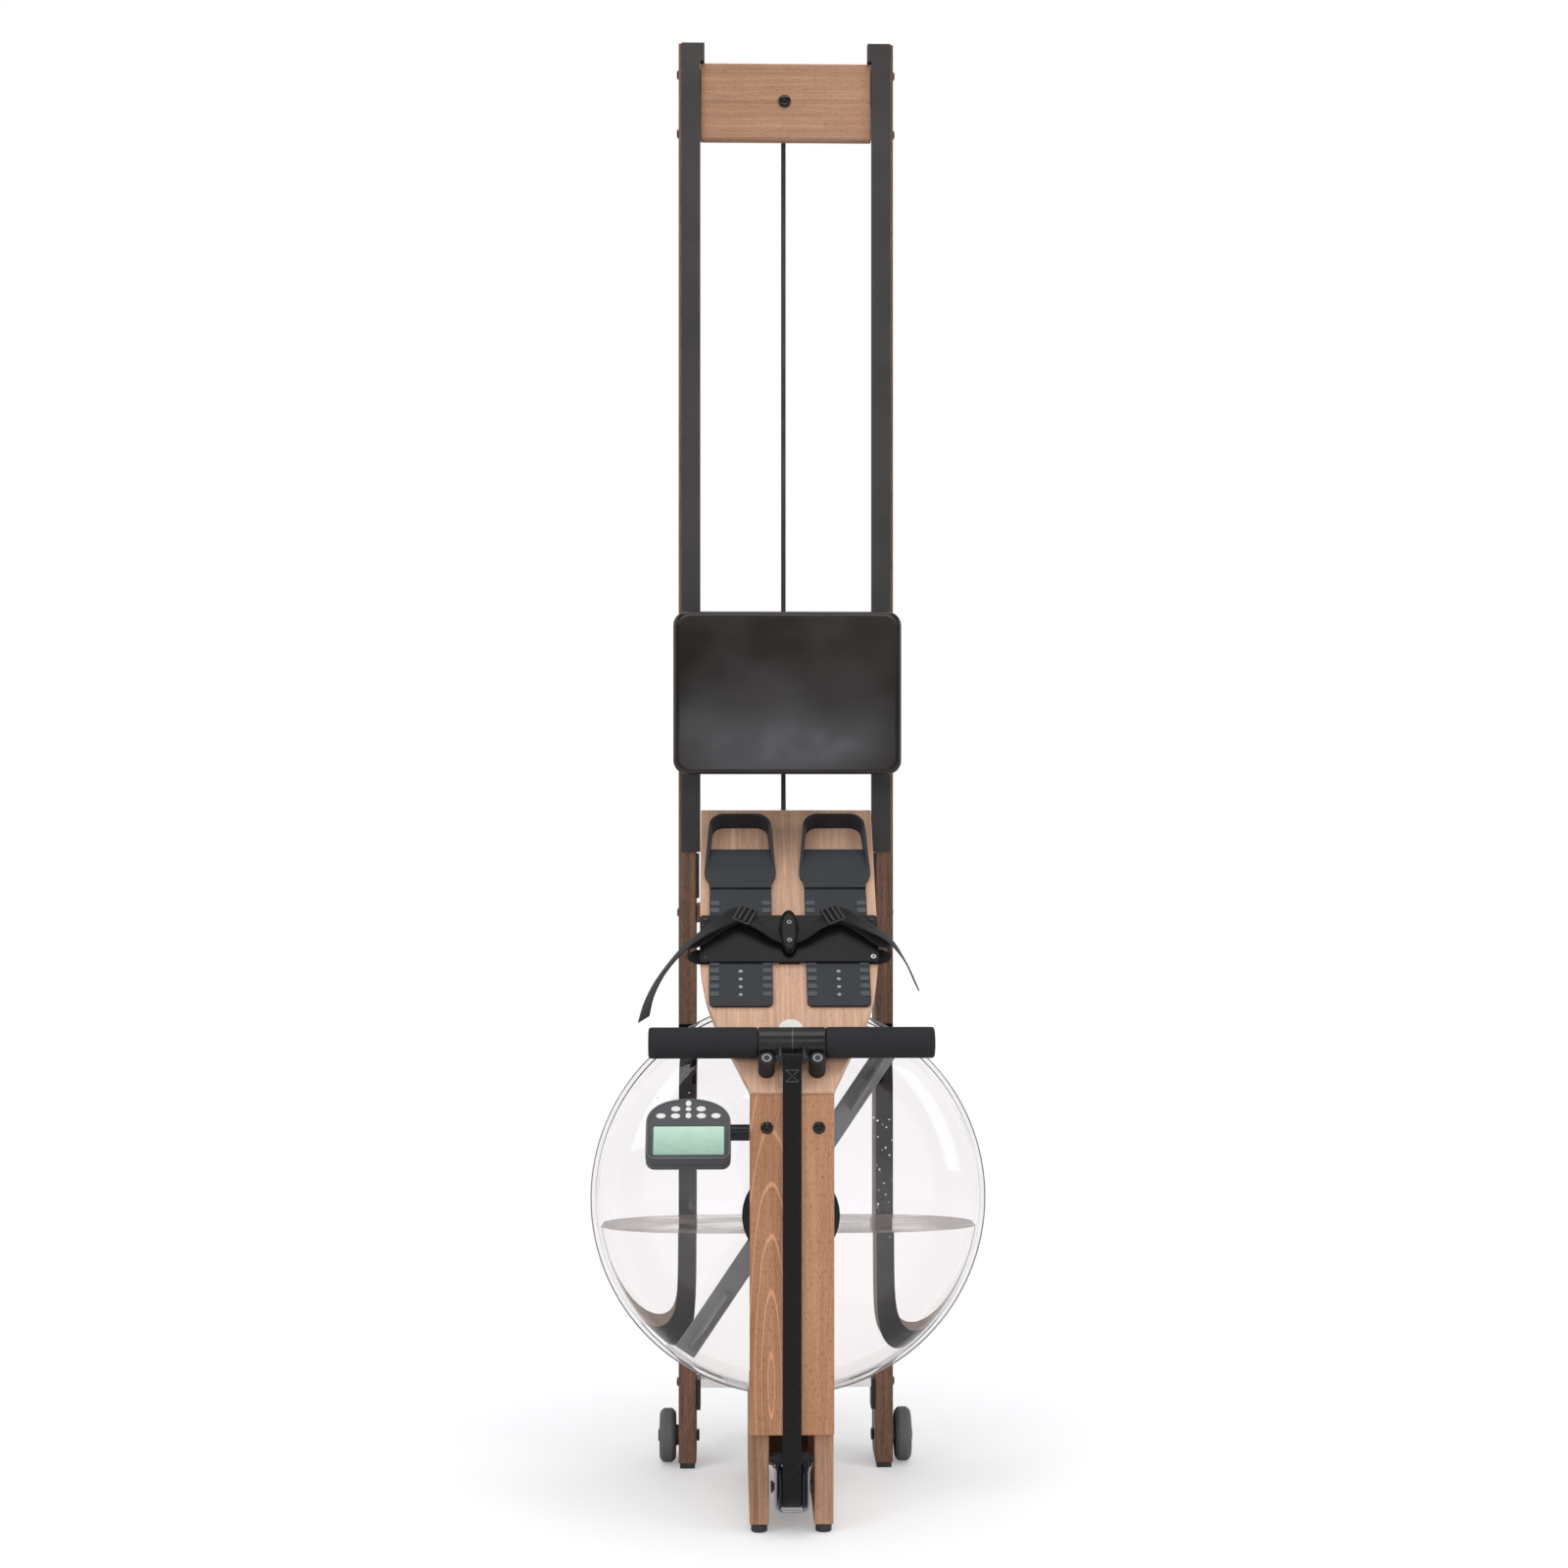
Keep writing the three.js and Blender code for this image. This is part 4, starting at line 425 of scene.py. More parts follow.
AXES = {"x": lambda r, t, a: (a, r * math.cos(t), r * math.sin(t)),
        "y": lambda r, t, a: (r * math.cos(t), a, r * math.sin(t)),
        "z": lambda r, t, a: (r * math.cos(t), r * math.sin(t), a)}


def lathe(profile, axis, steps=72, centre=(0, 0, 0), work=None):
    """A turned shape from [radius, place along the axis] points; one that ends as it starts is a ring."""
    work = work or bmesh.new()
    rings = []
    closed = tuple(profile[0]) == tuple(profile[-1])
    for radius, along in profile[:-1] if closed else profile:
        turns = 1 if radius < 1e-6 else steps
        spots = [AXES[axis](radius, 2 * math.pi * k / steps, along) for k in range(turns)]
        rings.append([work.verts.new(Vector(centre) + Vector(spot)) for spot in spots])
    for first, second in zip(rings, rings[1:] + (rings[:1] if closed else [])):
        if len(first) == 1 and len(second) == 1:
            continue
        for k in range(steps):
            n = (k + 1) % steps
            if len(first) == 1:
                work.faces.new((first[0], second[k], second[n]))
            elif len(second) == 1:
                work.faces.new((first[k], first[n], second[0]))
            else:
                work.faces.new((first[k], first[n], second[n], second[k]))
    return work


def rounded(profile, radius, steps=4):
    """Rounds the corners of a [radius, place] profile between its first and last points."""
    out = [tuple(profile[0])]
    for before, corner, after in zip(profile, profile[1:], profile[2:]):
        c = Vector(corner)
        a, b = Vector(before) - c, Vector(after) - c
        reach = min(radius, a.length * 0.45, b.length * 0.45)
        if reach < 1e-3 or abs(a.angle(b) - math.pi) < 0.05:
            out.append(tuple(corner))
            continue
        start, end = c + a.normalized() * reach, c + b.normalized() * reach
        for k in range(steps + 1):
            t = k / steps
            out.append(tuple((1 - t) ** 2 * start + 2 * t * (1 - t) * c + t * t * end))
    out.append(tuple(profile[-1]))
    return out


def turned(name, profile, axis, finish, node=None, centre=(0, 0, 0), place=RAILS, body=None, slot=None,
           steps=72, crease=40):
    return settle(name, lathe(profile, axis, steps, centre), place, finish, node, body, slot, crease=crease)


def plain_rod(radius, start, end, easing):
    """The profile of a rod with rounded ends."""
    return rounded([(0, start), (radius, start), (radius, end), (0, end)], easing)


def mirrored(profile, side):
    return [(radius, side * along) for radius, along in profile]


def prism(outline, low, high, work=None):
    """A flat outline in x and y, raised from one height to another."""
    work = work or bmesh.new()
    lower = [work.verts.new((x, y, low)) for x, y in outline]
    upper = [work.verts.new((x, y, high)) for x, y in outline]
    work.faces.new(lower[::-1])
    work.faces.new(upper)
    for k in range(len(outline)):
        n = (k + 1) % len(outline)
        work.faces.new((lower[k], lower[n], upper[n], upper[k]))
    return work


def block(low, high, work):
    (x0, y0, z0), (x1, y1, z1) = low, high
    return prism([(x0, y0), (x1, y0), (x1, y1), (x0, y1)], z0, z1, work)


def on_edge(outline, *sides):
    """A board on edge: an outline of (depth, height) between two x places, in the rails' frame."""
    work = prism([(-depth, height) for depth, height in outline], *sorted(sides))
    for vert in work.verts:
        y, z, x = vert.co
        vert.co = (x, y, z)
    return work


def side_plank(name, outline, sides, finish, bevel, node=None, slot=None):
    return settle(name, on_edge(outline, *sides), RAILS, finish, node, slot=slot, bevel=bevel, crease=25)


def stack(outlines, fan=False):
    """A closed shape through a stack of outlines that have the same count of points."""
    work = bmesh.new()
    rings = [[work.verts.new(point) for point in outline] for outline in outlines]
    count = len(rings[0])
    for first, second in zip(rings, rings[1:]):
        for k in range(count):
            n = (k + 1) % count
            work.faces.new((first[k], first[n], second[n], second[k]))
    if fan:
        for ring in (rings[0], rings[-1]):
            middle = work.verts.new(sum((v.co for v in ring), Vector()) / count)
            for k in range(count):
                work.faces.new((ring[k], ring[(k + 1) % count], middle))
    else:
        work.faces.new(rings[0][::-1])
        work.faces.new(rings[-1])
    return work


def ring_points(start, end, step):
    """The cosine and sine of each step of a turn, in degrees."""
    return [(math.cos(math.radians(a)), math.sin(math.radians(a))) for a in range(start, end, step)]


def oval(x, y, wide, tall):
    return [(x + wide * c, y + tall * s) for c, s in ring_points(0, 360, 9)]


def rounded_outline(half_wide, half_tall, corner, steps=8, edge_steps=1):
    points = []
    corners = ((1, -1, -90), (1, 1, 0), (-1, 1, 90), (-1, -1, 180))
    for i, (sx, sy, start) in enumerate(corners):
        centre = Vector((sx * (half_wide - corner), sy * (half_tall - corner)))
        for k in range(steps + 1):
            turn = math.radians(start + 90 * k / steps)
            points.append(centre + corner * Vector((math.cos(turn), math.sin(turn))))
        nx, ny, next_start = corners[(i + 1) % 4]
        turn = math.radians(next_start)
        target = Vector((nx * (half_wide - corner), ny * (half_tall - corner))) + corner * Vector(
            (math.cos(turn), math.sin(turn)))
        last = points[-1].copy()
        points += [last.lerp(target, k / edge_steps) for k in range(1, edge_steps)]
    return [tuple(p) for p in points]


def spline(points, steps):
    """Points on a smooth curve through a list of points."""
    points = [Vector(p) for p in points]
    out = []
    for i in range(len(points) - 1):
        p0, p1 = points[max(i - 1, 0)], points[i]
        p2, p3 = points[i + 1], points[min(i + 2, len(points) - 1)]
        for k in range(steps):
            t = k / steps
            out.append(0.5 * ((2 * p1) + (p2 - p0) * t + (2 * p0 - 5 * p1 + 4 * p2 - p3) * t * t
                              + (3 * p1 - p0 - 3 * p2 + p3) * t ** 3))
    out.append(points[-1])
    return out


def tube(points, radius, sides=12):
    """A round cord or wire along a list of points, closed at both ends."""
    rings = []
    side = None
    for i, at in enumerate(points):
        along = (points[min(i + 1, len(points) - 1)] - points[max(i - 1, 0)]).normalized()
        if side is None:
            side = along.orthogonal().normalized()
        side = (side - along * side.dot(along)).normalized()
        other = along.cross(side)
        rings.append([at + radius * (math.cos(2 * math.pi * k / sides) * side
                                     + math.sin(2 * math.pi * k / sides) * other) for k in range(sides)])
    return stack(rings)


BAND_EDGE = ((1, -0.5), (1.0, 0.5), (0.94, 1), (0.5, 1), (0, 1), (-0.5, 1), (-0.94, 1), (-1, 0.5), (-1, -0.5),
             (-0.94, -1), (-0.5, -1), (0, -1), (0.5, -1), (0.94, -1))


def band(stations, steps, width=WEB_WIDE, thickness=WEB_THICK):
    """Webbing through a list of (place, way that its face looks), with its length and width as UV."""
    places = spline([at for at, _ in stations], steps)
    looks = [v.normalized() for v in spline([face for _, face in stations], steps)]
    work = bmesh.new()
    uv = work.loops.layers.uv.new("band")
    count = len(BAND_EDGE)
    rings, reach = [], [0.0]
    for i, at in enumerate(places):
        along = (places[min(i + 1, len(places) - 1)] - places[max(i - 1, 0)]).normalized()
        across = looks[i].cross(along).normalized()
        up = along.cross(across).normalized()
        rings.append([work.verts.new(at + across * (w * width / 2) + up * (t * thickness / 2))
                      for w, t in BAND_EDGE])
        if i:
            reach.append(reach[-1] + (at - places[i - 1]).length)
    for i in range(len(rings) - 1):
        for k in range(count):
            n = (k + 1) % count
            face = work.faces.new((rings[i][k], rings[i][n], rings[i + 1][n], rings[i + 1][k]))
            for loop, (u, v) in zip(face.loops, ((i, k), (i, n), (i + 1, n), (i + 1, k))):
                loop[uv].uv = (reach[u] * MM, BAND_EDGE[v][0] * width / 2 * MM)
    for ring, u in ((rings[0][::-1], 0.0), (rings[-1], reach[-1])):
        for loop in work.faces.new(ring).loops:
            loop[uv].uv = (u * MM, 0.0)
    return work


def webbing(name, stations, steps, node=None, place=RAILS, body=None, **size):
    return settle(name, band(stations, steps, **size), place, WEBBING, node, body, "webbing")


def loose(name, work):
    """A shape that other shapes are made with. It isn't a piece of the machine."""
    return placed(name, to_mesh(work, name))


def with_modifiers(piece):
    bpy.context.view_layer.update()
    return bpy.data.meshes.new_from_object(piece.evaluated_get(bpy.context.evaluated_depsgraph_get()))


def combine(piece, operation, tools, use_self=False):
    """Joins shapes to a piece or cuts them out of it, and clears them away."""
    for tool in tools:
        step = piece.modifiers.new("combine", "BOOLEAN")
        step.operation, step.object, step.solver, step.use_self = operation, tool, "EXACT", use_self
    done = with_modifiers(piece)
    piece.modifiers.clear()
    piece.data = done
    for tool in tools:
        bpy.data.objects.remove(tool)


# Repeated pieces

def repeat_tree(name):
    """Copies of one small shape on points, each turned to look the way that its point says."""
    tree = bpy.data.node_groups.new(name, "GeometryNodeTree")
    for label, kind in (("Points", "Geometry"), ("Shape", "Object"), ("Radius", "Float"), ("Height", "Float"),
                        ("Finish", "Material")):
        tree.interface.new_socket(label, in_out="INPUT", socket_type="NodeSocket" + kind)
    tree.interface.new_socket("Copies", in_out="OUTPUT", socket_type="NodeSocketGeometry")
    given = add(tree, "NodeGroupInput").outputs
    shape = add(tree, "GeometryNodeObjectInfo", {"Object": given["Shape"]})
    looks, along, size = (
        add(tree, "GeometryNodeInputNamedAttribute", {"Name": label}, data_type=kind).outputs[0]
        for label, kind in (("looks", "FLOAT_VECTOR"), ("along", "FLOAT_VECTOR"), ("size", "FLOAT")))
    turn = add(tree, "FunctionNodeAxesToRotation", {"Primary Axis": looks, "Secondary Axis": along},
               primary_axis="Z", secondary_axis="X")
    scale = add(tree, "ShaderNodeCombineXYZ", {"X": given["Radius"], "Y": given["Radius"],
                                               "Z": given["Height"]})
    sized = add(tree, "ShaderNodeVectorMath", {0: scale.outputs[0], "Scale": size}, operation="SCALE")
    on_points = add(tree, "GeometryNodeInstanceOnPoints", {
        "Points": given["Points"], "Instance": shape.outputs["Geometry"], "Rotation": turn.outputs[0],
        "Scale": sized.outputs[0]})
    real = add(tree, "GeometryNodeRealizeInstances", {"Geometry": on_points.outputs[0]})
    coloured = add(tree, "GeometryNodeSetMaterial", {"Geometry": real.outputs[0],
                                                     "Material": given["Finish"]})
    add(tree, "NodeGroupOutput", {0: coloured.outputs[0]})
    return tree


REPEAT = repeat_tree("copies on points")
SOCKETS = {item.name: item.identifier for item in REPEAT.interface.items_tree if item.in_out == "INPUT"}


def copies(name, rows, shape, radius, height, place, finish, slot, body="machine_frame"):
    """rows are (place, way it looks, way it lies, size share) in the given frame."""
    turn = place.to_3x3().normalized()
    mesh = bpy.data.meshes.new(name)
    mesh.from_pydata([place @ Vector(at) for at, *_ in rows], [], [])
    for label, column in (("looks", 1), ("along", 2)):
        layer = mesh.attributes.new(label, "FLOAT_VECTOR", "POINT")
        layer.data.foreach_set("vector",
                               [c for row in rows for c in (turn @ Vector(row[column])).normalized()])
    layer = mesh.attributes.new("size", "FLOAT", "POINT")
    layer.data.foreach_set("value", [float(row[3]) for row in rows])
    points = placed(name + " points", mesh)
    modifier = points.modifiers.new("copies", "NODES")
    modifier.node_group = REPEAT
    for label, value in (("Shape", shape), ("Radius", radius * MM), ("Height", height * MM),
                         ("Finish", finish)):
        modifier[SOCKETS[label]] = value
    made = with_modifiers(points)
    bpy.data.objects.remove(points)
    return settle(name, made, IN_PLACE, finish, body=body, slot=slot)


def facing(places, size=1.0):
    """Rows for copies that look out of the footboard's face."""
    return [(at, (0, 0, 1), (1, 0, 0), size) for at in places]


# Small shapes of radius 1 and height 1 that copies are made of
BUTTON_HEAD = loose("button head", lathe([
    (0, -0.05), (1.0, -0.05), (1.0, 0.35), (0.9, 0.68), (0.72, 0.9), (0.5, 1.0), (0.42, 1.0), (0.42, 0.45),
    (0, 0.4)], "z", 30))
WASHER_RING = loose("washer ring", lathe([
    (0.4, 0), (1.0, 0), (1.0, 0.8), (0.92, 1.0), (0.5, 1.0), (0.4, 0.8), (0.4, 0)], "z", 32))
DROP = loose("drop", lathe([
    (0, -0.3), (0.7, -0.3), (0.95, 0), (1.0, 0.3), (0.8, 0.7), (0.45, 0.93), (0, 1)], "z", 10))
STITCH = loose("stitch", lathe([(0, 0), (0.5, 0), (1, 0.5), (0.5, 1), (0, 1)], "z", 6))
RIB = loose("rib", prism(rounded_outline(1.0, 0.62, 0.2, 3), 0, 1))
SPOT = loose("spot", lathe([(0, 0), (1, 0), (1, 0.8), (0.9, 1), (0, 1)], "z", 24))
SMALL_SHAPES = (BUTTON_HEAD, WASHER_RING, DROP, STITCH, RIB, SPOT)


# Wooden frame and its metal

def arc(depth, height, radius, start, end, steps=10):
    turns = [math.radians(start + (end - start) * k / steps) for k in range(steps + 1)]
    return [(depth + radius * math.cos(turn), height + radius * math.sin(turn)) for turn in turns]


RAIL_DEEP, RAIL_TOP, RAIL_TOE, PAD_TALL = 88, 2098, 26, 8
# Heights and thickness of the painted shade strips on the rails behind the tank
SHADE_STRIP_LOW, SHADE_STRIP_HIGH, SHADE_STRIP_THICK = 182, 655, 1.2
for side, name in ((-1, "left"), (1, "right")):
    rail_outline = [(0, PAD_TALL), (0, RAIL_TOP), (-RAIL_DEEP, RAIL_TOP)] + arc(
        RAIL_TOE - RAIL_DEEP, PAD_TALL + RAIL_TOE, RAIL_TOE, 180, 270)
    side_plank(name + "_rail_wood", rail_outline, (side * RAIL_INNER, side * RAIL_OUTER), RAIL_WOOD, 1.6,
               name + "_rail")
    side_plank(name + "_rail_pad", [(-2, 0), (-60, 0), (-60, PAD_TALL + 0.2), (-2, PAD_TALL + 0.2)],
               (side * (RAIL_INNER + 2), side * (RAIL_OUTER - 2)), FOOT_RUBBER, 1.0, name + "_rail", slot="")
    eased(name + "_track", TRACK_BLACK, 0.9)
    eased(name + "_rear_leg", LEG_WOOD, 2.0)
    eased(name + "_front_post", POST_WOOD, 1.4)
    turned(name + "_post_foot_pad", plain_rod(11, 0, 11.6, 1.6), "z", FOOT_RUBBER, name + "_post_foot",
           (side * 43.5, -290, 0), steps=40)

# Painted shade: thin black strips on the rails' front faces where they run behind the tank
shade_strip_outline = [(0, SHADE_STRIP_LOW), (0, SHADE_STRIP_HIGH), (SHADE_STRIP_THICK, SHADE_STRIP_HIGH), (SHADE_STRIP_THICK, SHADE_STRIP_LOW)]
for side in (-1, 1):
    side_plank("rail_facing", shade_strip_outline, (side * (RAIL_INNER + 0.6), side * (RAIL_OUTER - 0.6)),
               PAINTED_SHADE_BLACK, 0.4)

eased("rear_spreader", SPREADER_WOOD, 1.8)
eased("upper_cross_board", CROSS_WOOD, 1.2)
# Lower cross bar, coated white, on black brackets
BAR_HALF, BAR_TOP = 125.6, 131
side_plank("lower_cross_bar_body", [(-2, 119), (-2, BAR_TOP), (-30, BAR_TOP), (-30, 119)],
           (-BAR_HALF, BAR_HALF), COATED_WHITE, 0.8, "lower_cross_bar", slot="")
for side in (-1, 1):
    side_plank("lower_cross_bracket", [(-2, 86), (-2, BAR_TOP), (-35, BAR_TOP), (-35, 86)],
               (side * (RAIL_INNER - 0.3), side * (BAR_HALF + 0.1)), STEEL_BLACK, 0.8, "lower_cross_bar",
               slot="")
eased("spine_board", RAIL_WOOD, 1.0)
eased("top_deck", DECK_WOOD, 1.6)
eased("pulley_block", STEEL_BLACK, 0.6, crease=32)
for side in (-1, 1):
    side_plank("pulley_cheek", [(286, 91.5), (304, 91.5), (318, 74), (318, 44), (306, 34), (288, 34)],
               (side * 18.4, side * 21.6), STEEL_BLACK, 0.5)
eased("rear_pulley_bracket", STEEL_BLACK, 0.5, crease=32)
eased("foot_crossbar", BAR_BLACK, 0.5, crease=40)
eased("seat_carriage", STEEL_BLACK, 0.6)

# Footboard: its sides flare out in a smooth curve from the deck's width
BOARD_HALF, BOARD_LONG, BOARD_THICK = 125, 497.6, 15
BOARD_SHARES = ((0, 0.452), (0.02, 0.466), (0.05, 0.52), (0.094, 0.594), (0.16, 0.71), (0.224, 0.818),
                (0.29, 0.905), (0.35, 0.952), (0.43, 0.99), (0.52, 1), (1, 1))
half_board = [(BOARD_HALF * wide, BOARD_LONG * up, 0) for up, wide in BOARD_SHARES]
flare = [(p.x, p.y) for p in spline(half_board, 5)]
board_work = prism(flare + [(-x, y) for x, y in reversed(flare)], -BOARD_THICK, 0)
settle("footboard_wood", board_work, BOARD, BOARD_WOOD, "footboard", bevel=1.8, crease=30)

# Black steel angles that hold the cross board to the rails
for side in (-1, 1):
    side_plank("rail_angle", [(2, 840), (2, 906), (-16, 906), (-16, 840)],
               (side * (RAIL_INNER - 0.3), side * 127.6), STEEL_BLACK, 0.8)


# Tank, paddle and water

def dome(edge, half, low, high, steps=40):
    """[radius, half depth] points of a tank shell from one radius to another."""
    out = []
    for k in range(steps + 1):
        radius = low + (high - low) * math.sin(math.pi / 2 * k / steps)
        out.append((radius, half * math.sqrt(max(0.0, 1 - (radius / edge) ** 4))))
    return out


BORE, RIM_IN, RIM_OUT = 8.3, 267, 280
rim = rounded([(RIM_IN, 0.3), (RIM_OUT, 0.3), (RIM_OUT, 4.5), (272, 4.5)], 0.9)
front_boss, rear_boss, bearing = 84.7, 102.4, 63.4
front = dome(*INNER_DOME, BORE, RIM_IN) + rim[1:-1] + list(reversed(dome(*OUTER_DOME, 30, 272)))
front += [(30, front_boss), (BORE, front_boss)]
rear = [(0, INNER_DOME[1]), (BORE, INNER_DOME[1]), (BORE, bearing), (17, bearing)]
rear += dome(*INNER_DOME, 17, RIM_IN) + rim[1:-1] + list(reversed(dome(*OUTER_DOME, 40, 272)))
rear += [(40, rear_boss), (0, rear_boss)]
for name, profile, side in (("front", front + front[:1], -1), ("rear", rear, 1)):
    turned("tank_" + name + "_dome", mirrored(profile, side), "y", TANK_CLEAR, "tank_" + name + "_shell",
           TANK, steps=128, crease=30)
turned("tank_rim_seal", [(277.6, -0.28), (279.6, -0.28), (279.6, 0.28), (277.6, 0.28), (277.6, -0.28)], "y",
       RIM_SEAL, centre=TANK, slot="rubber", steps=128)

BLADE_HALF, BAR_THICK_HALF, ARM_REACH = 2.0, 4.0, 256
paddle_turn = RAILS @ Matrix.Translation(TANK) @ Matrix.Rotation(math.radians(-56), 4, "Y")
paddle_work = lathe(plain_rod(34, -20, 20, 4), "y", 56)
block((-ARM_REACH, -BAR_THICK_HALF, -15), (ARM_REACH, BAR_THICK_HALF, 15), paddle_work)
for side in (-1, 1):
    blade = [(side * x, y) for x, y in ((155, -52), (212, -52), (248, -36), (248, 36), (212, 52), (155, 52))]
    prism(blade[::side], -BLADE_HALF, BLADE_HALF, paddle_work)
    block((side * 201.5 - 46.5, -6, -9), (side * 201.5 + 46.5, 6, 9), paddle_work)
settle("paddle_arms", paddle_work, paddle_turn, PADDLE_GREY, "paddle", bevel=1.0)
shaft = rounded([(0, -66), (8, -66), (8, 146), (12, 146), (12, 152), (0, 152)], 0.8)
turned("paddle_shaft", mirrored(shaft, -1), "y", WASHER_STEEL, "paddle", TANK, slot="dark_steel", steps=48)

# The water's two faces are flat and close in to the wall only at the shoulder, as the blown shells do
WATER_LEVEL, FLAT_FACE, SHOULDER = 384.4, 52, 9
wet = [(r, ((h - 1) ** -SHOULDER + FLAT_FACE ** -SHOULDER) ** (-1 / SHOULDER))
       for r, h in dome(*INNER_DOME, 0, 266)]
water_work = lathe(mirrored(wet, -1) + wet[::-1], "y", 128, TANK)
bmesh.ops.recalc_face_normals(water_work, faces=water_work.faces)
whole_tank = water_work.verts[:] + water_work.edges[:] + water_work.faces[:]
cut_level = bmesh.ops.bisect_plane(water_work, geom=whole_tank, plane_co=(0, 0, WATER_LEVEL),
                                   plane_no=(0, 0, 1), clear_outer=True)
level_edges = [e for e in cut_level["geom_cut"] if isinstance(e, bmesh.types.BMEdge)]
bmesh.ops.triangle_fill(water_work, edges=level_edges)
settle("tank_water", water_work, RAILS, TANK_WATER, "water", crease=30)
shore = []
for k in range(-60, 61):
    x = 263 * math.sin(math.pi / 2 * k / 60)
    edge, half = INNER_DOME
    shore.append((x, half * math.sqrt(1 - (math.hypot(x, TANK[2] - 385) / edge) ** 4) - 0.8))
shore_work = prism([(x, TANK[1] - y) for x, y in shore] + [(x, TANK[1] + y) for x, y in reversed(shore)],
                   WATER_LEVEL + 0.1, WATER_LEVEL + 0.6)
settle("water_surface", shore_work, RAILS, WATER_FACE, "water", crease=30)


# Drum, pulleys, wheels and rollers

drum_profile = [(BORE, 214), (45, 214), (45, 218), (22, 218), (22, 236), (45, 236), (45, 240), (30, 240),
                (30, 269.5), (66.5, 269.5), (66.5, 274), (BORE, 274), (BORE, 214)]
drum_profile = drum_profile[:1] + rounded(drum_profile, 0.8, 2)[1:-1] + drum_profile[:1]
turned("drum_turning", mirrored(drum_profile, -1), "y", SATIN_BLACK, "strap_drum", (0, 0, TANK[2]), steps=96,
       crease=30)
front_profile = rounded([(5.3, -17.5), (29, -17.5), (29, -14), (25, -13), (25, 13), (29, 14), (29, 17.5),
                         (5.3, 17.5)], 0.8, 2)
turned("front_pulley_turning", front_profile + front_profile[:1], "x", SATIN_BLACK, "front_pulley",
       FRONT_PULLEY, crease=30)
rear_profile = rounded([(4.3, -7), (24, -7), (24, -5), (19, -3), (19, 3), (24, 5), (24, 7), (4.3, 7)], 0.5, 2)
turned("rear_pulley_turning", rear_profile + rear_profile[:1], "x", SATIN_BLACK, "rear_pulley", REAR_PULLEY,
       steps=64, crease=30)

for side, name in ((-1, "left"), (1, "right")):
    tyre = rounded([(15, 162.5), (33, 162.5), (39, 168), (39, 181), (33.5, 186.5), (26, 186.5), (24, 184.5),
                    (5.3, 184.5), (5.3, 158.6), (15, 158.6)], 2.4, 5)
    turned(name + "_wheel_tyre", mirrored(tyre + tyre[:1], side), "x", TYRE_GREY, name + "_wheel", WHEEL_AXLE,
           crease=32)
    bolt = rounded([(0, 127.7), (5, 127.7), (5, 184.8), (9, 184.8), (9, 188.8), (0, 188.8)], 0.7, 2)
    turned(name + "_wheel_bolt", mirrored(bolt, side), "x", STEEL_BLACK, name + "_wheel_axle", WHEEL_AXLE,
           steps=40)
    nut = lathe(mirrored([(0, 127.7), (9, 127.7), (9, 131.7), (0, 131.7)], side), "x", 6, WHEEL_AXLE)
    settle(name + "_wheel_nut", nut, RAILS, STEEL_BLACK, name + "_wheel_axle", bevel=0.5)

ROLLER_DEEP = 18.6
for name, height in (("lower", SEAT_MIDDLE - 75), ("upper", SEAT_MIDDLE + 75)):
    rollers, roller_axle = name + "_rollers", (0, -ROLLER_DEEP, height)
    for side in (-1, 1):
        profile = rounded([(4, 134), (15, 134), (15, 149), (4, 149)], 1.6)
        turned(name + "_roller_tyre", mirrored(profile + profile[:1], side), "x", ROLLER_WHITE, rollers,
               roller_axle, steps=48)
    turned(name + "_roller_axle", plain_rod(4, -151, 151, 0.6), "x", WASHER_STEEL, rollers, roller_axle,
           slot="bright_steel", steps=32)


# Handle and pegs

LUG_REACH, LUG_ROUND = 34.48, 8
for side, name in ((-1, "left"), (1, "right")):
    grip = [(0, 184.8), (10.3, 184.8), (10.3, 45.3)] + rounded(
        [(10.3, 45.3), (21, 45.3), (21, 192.5), (0, 192.5)], 4.5, 6)[1:]
    turned(name + "_grip_foam", mirrored(grip, side), "x", FOAM, name + "_grip", HANDLE, crease=45)
    # Each ear of the clevis: a flat lug with a round end
    ear_turn = Matrix.Translation(HANDLE) @ Matrix.Rotation(math.atan2(17, 30), 4, "X")
    ear = [(0, -LUG_ROUND), (0, LUG_ROUND)] + [(LUG_REACH + LUG_ROUND * c, LUG_ROUND * s)
                                               for c, s in ring_points(90, -91, -15)]
    settle(name + "_clevis_lug", on_edge(ear, side * 14, side * 18), RAILS @ ear_turn, STEEL_BLACK,
           "handle_core", bevel=0.6)
    turned(name + "_peg_rubber", plain_rod(11.25, 0.3, 32.3, 2.2), "z", RUBBER, name + "_handle_peg",
           (side * PEG_OUT, PEG_UP, 0), place=BOARD, steps=48)
turned("handle_sleeve_line", [(20.7, 0.4), (21.0, 0.4), (21.0, 1.1), (20.7, 1.1), (20.7, 0.4)], "x",
       DULL_STEEL, centre=HANDLE, body="handle", slot="bright_steel")
turned("handle_sleeve", plain_rod(20.9, -45, 45, 1.2), "x", SLEEVE_BLACK, "handle_core", HANDLE)
turned("handle_bar", plain_rod(10, -184.5, 184.5, 0.8), "x", WASHER_STEEL, "handle_core", HANDLE,
       slot="bright_steel", steps=32)
turned("clevis_pin", plain_rod(4, -22, 22, 0.6), "x", STEEL_BLACK, "handle_core", CLEVIS_PIN,
       slot="bright_steel", steps=32)


# Drive strap, recoil cord and wire guard

def chord(radius, step):
    """The radius of a polygon's corners whose sides touch a circle."""
    return radius / math.cos(step / 2)


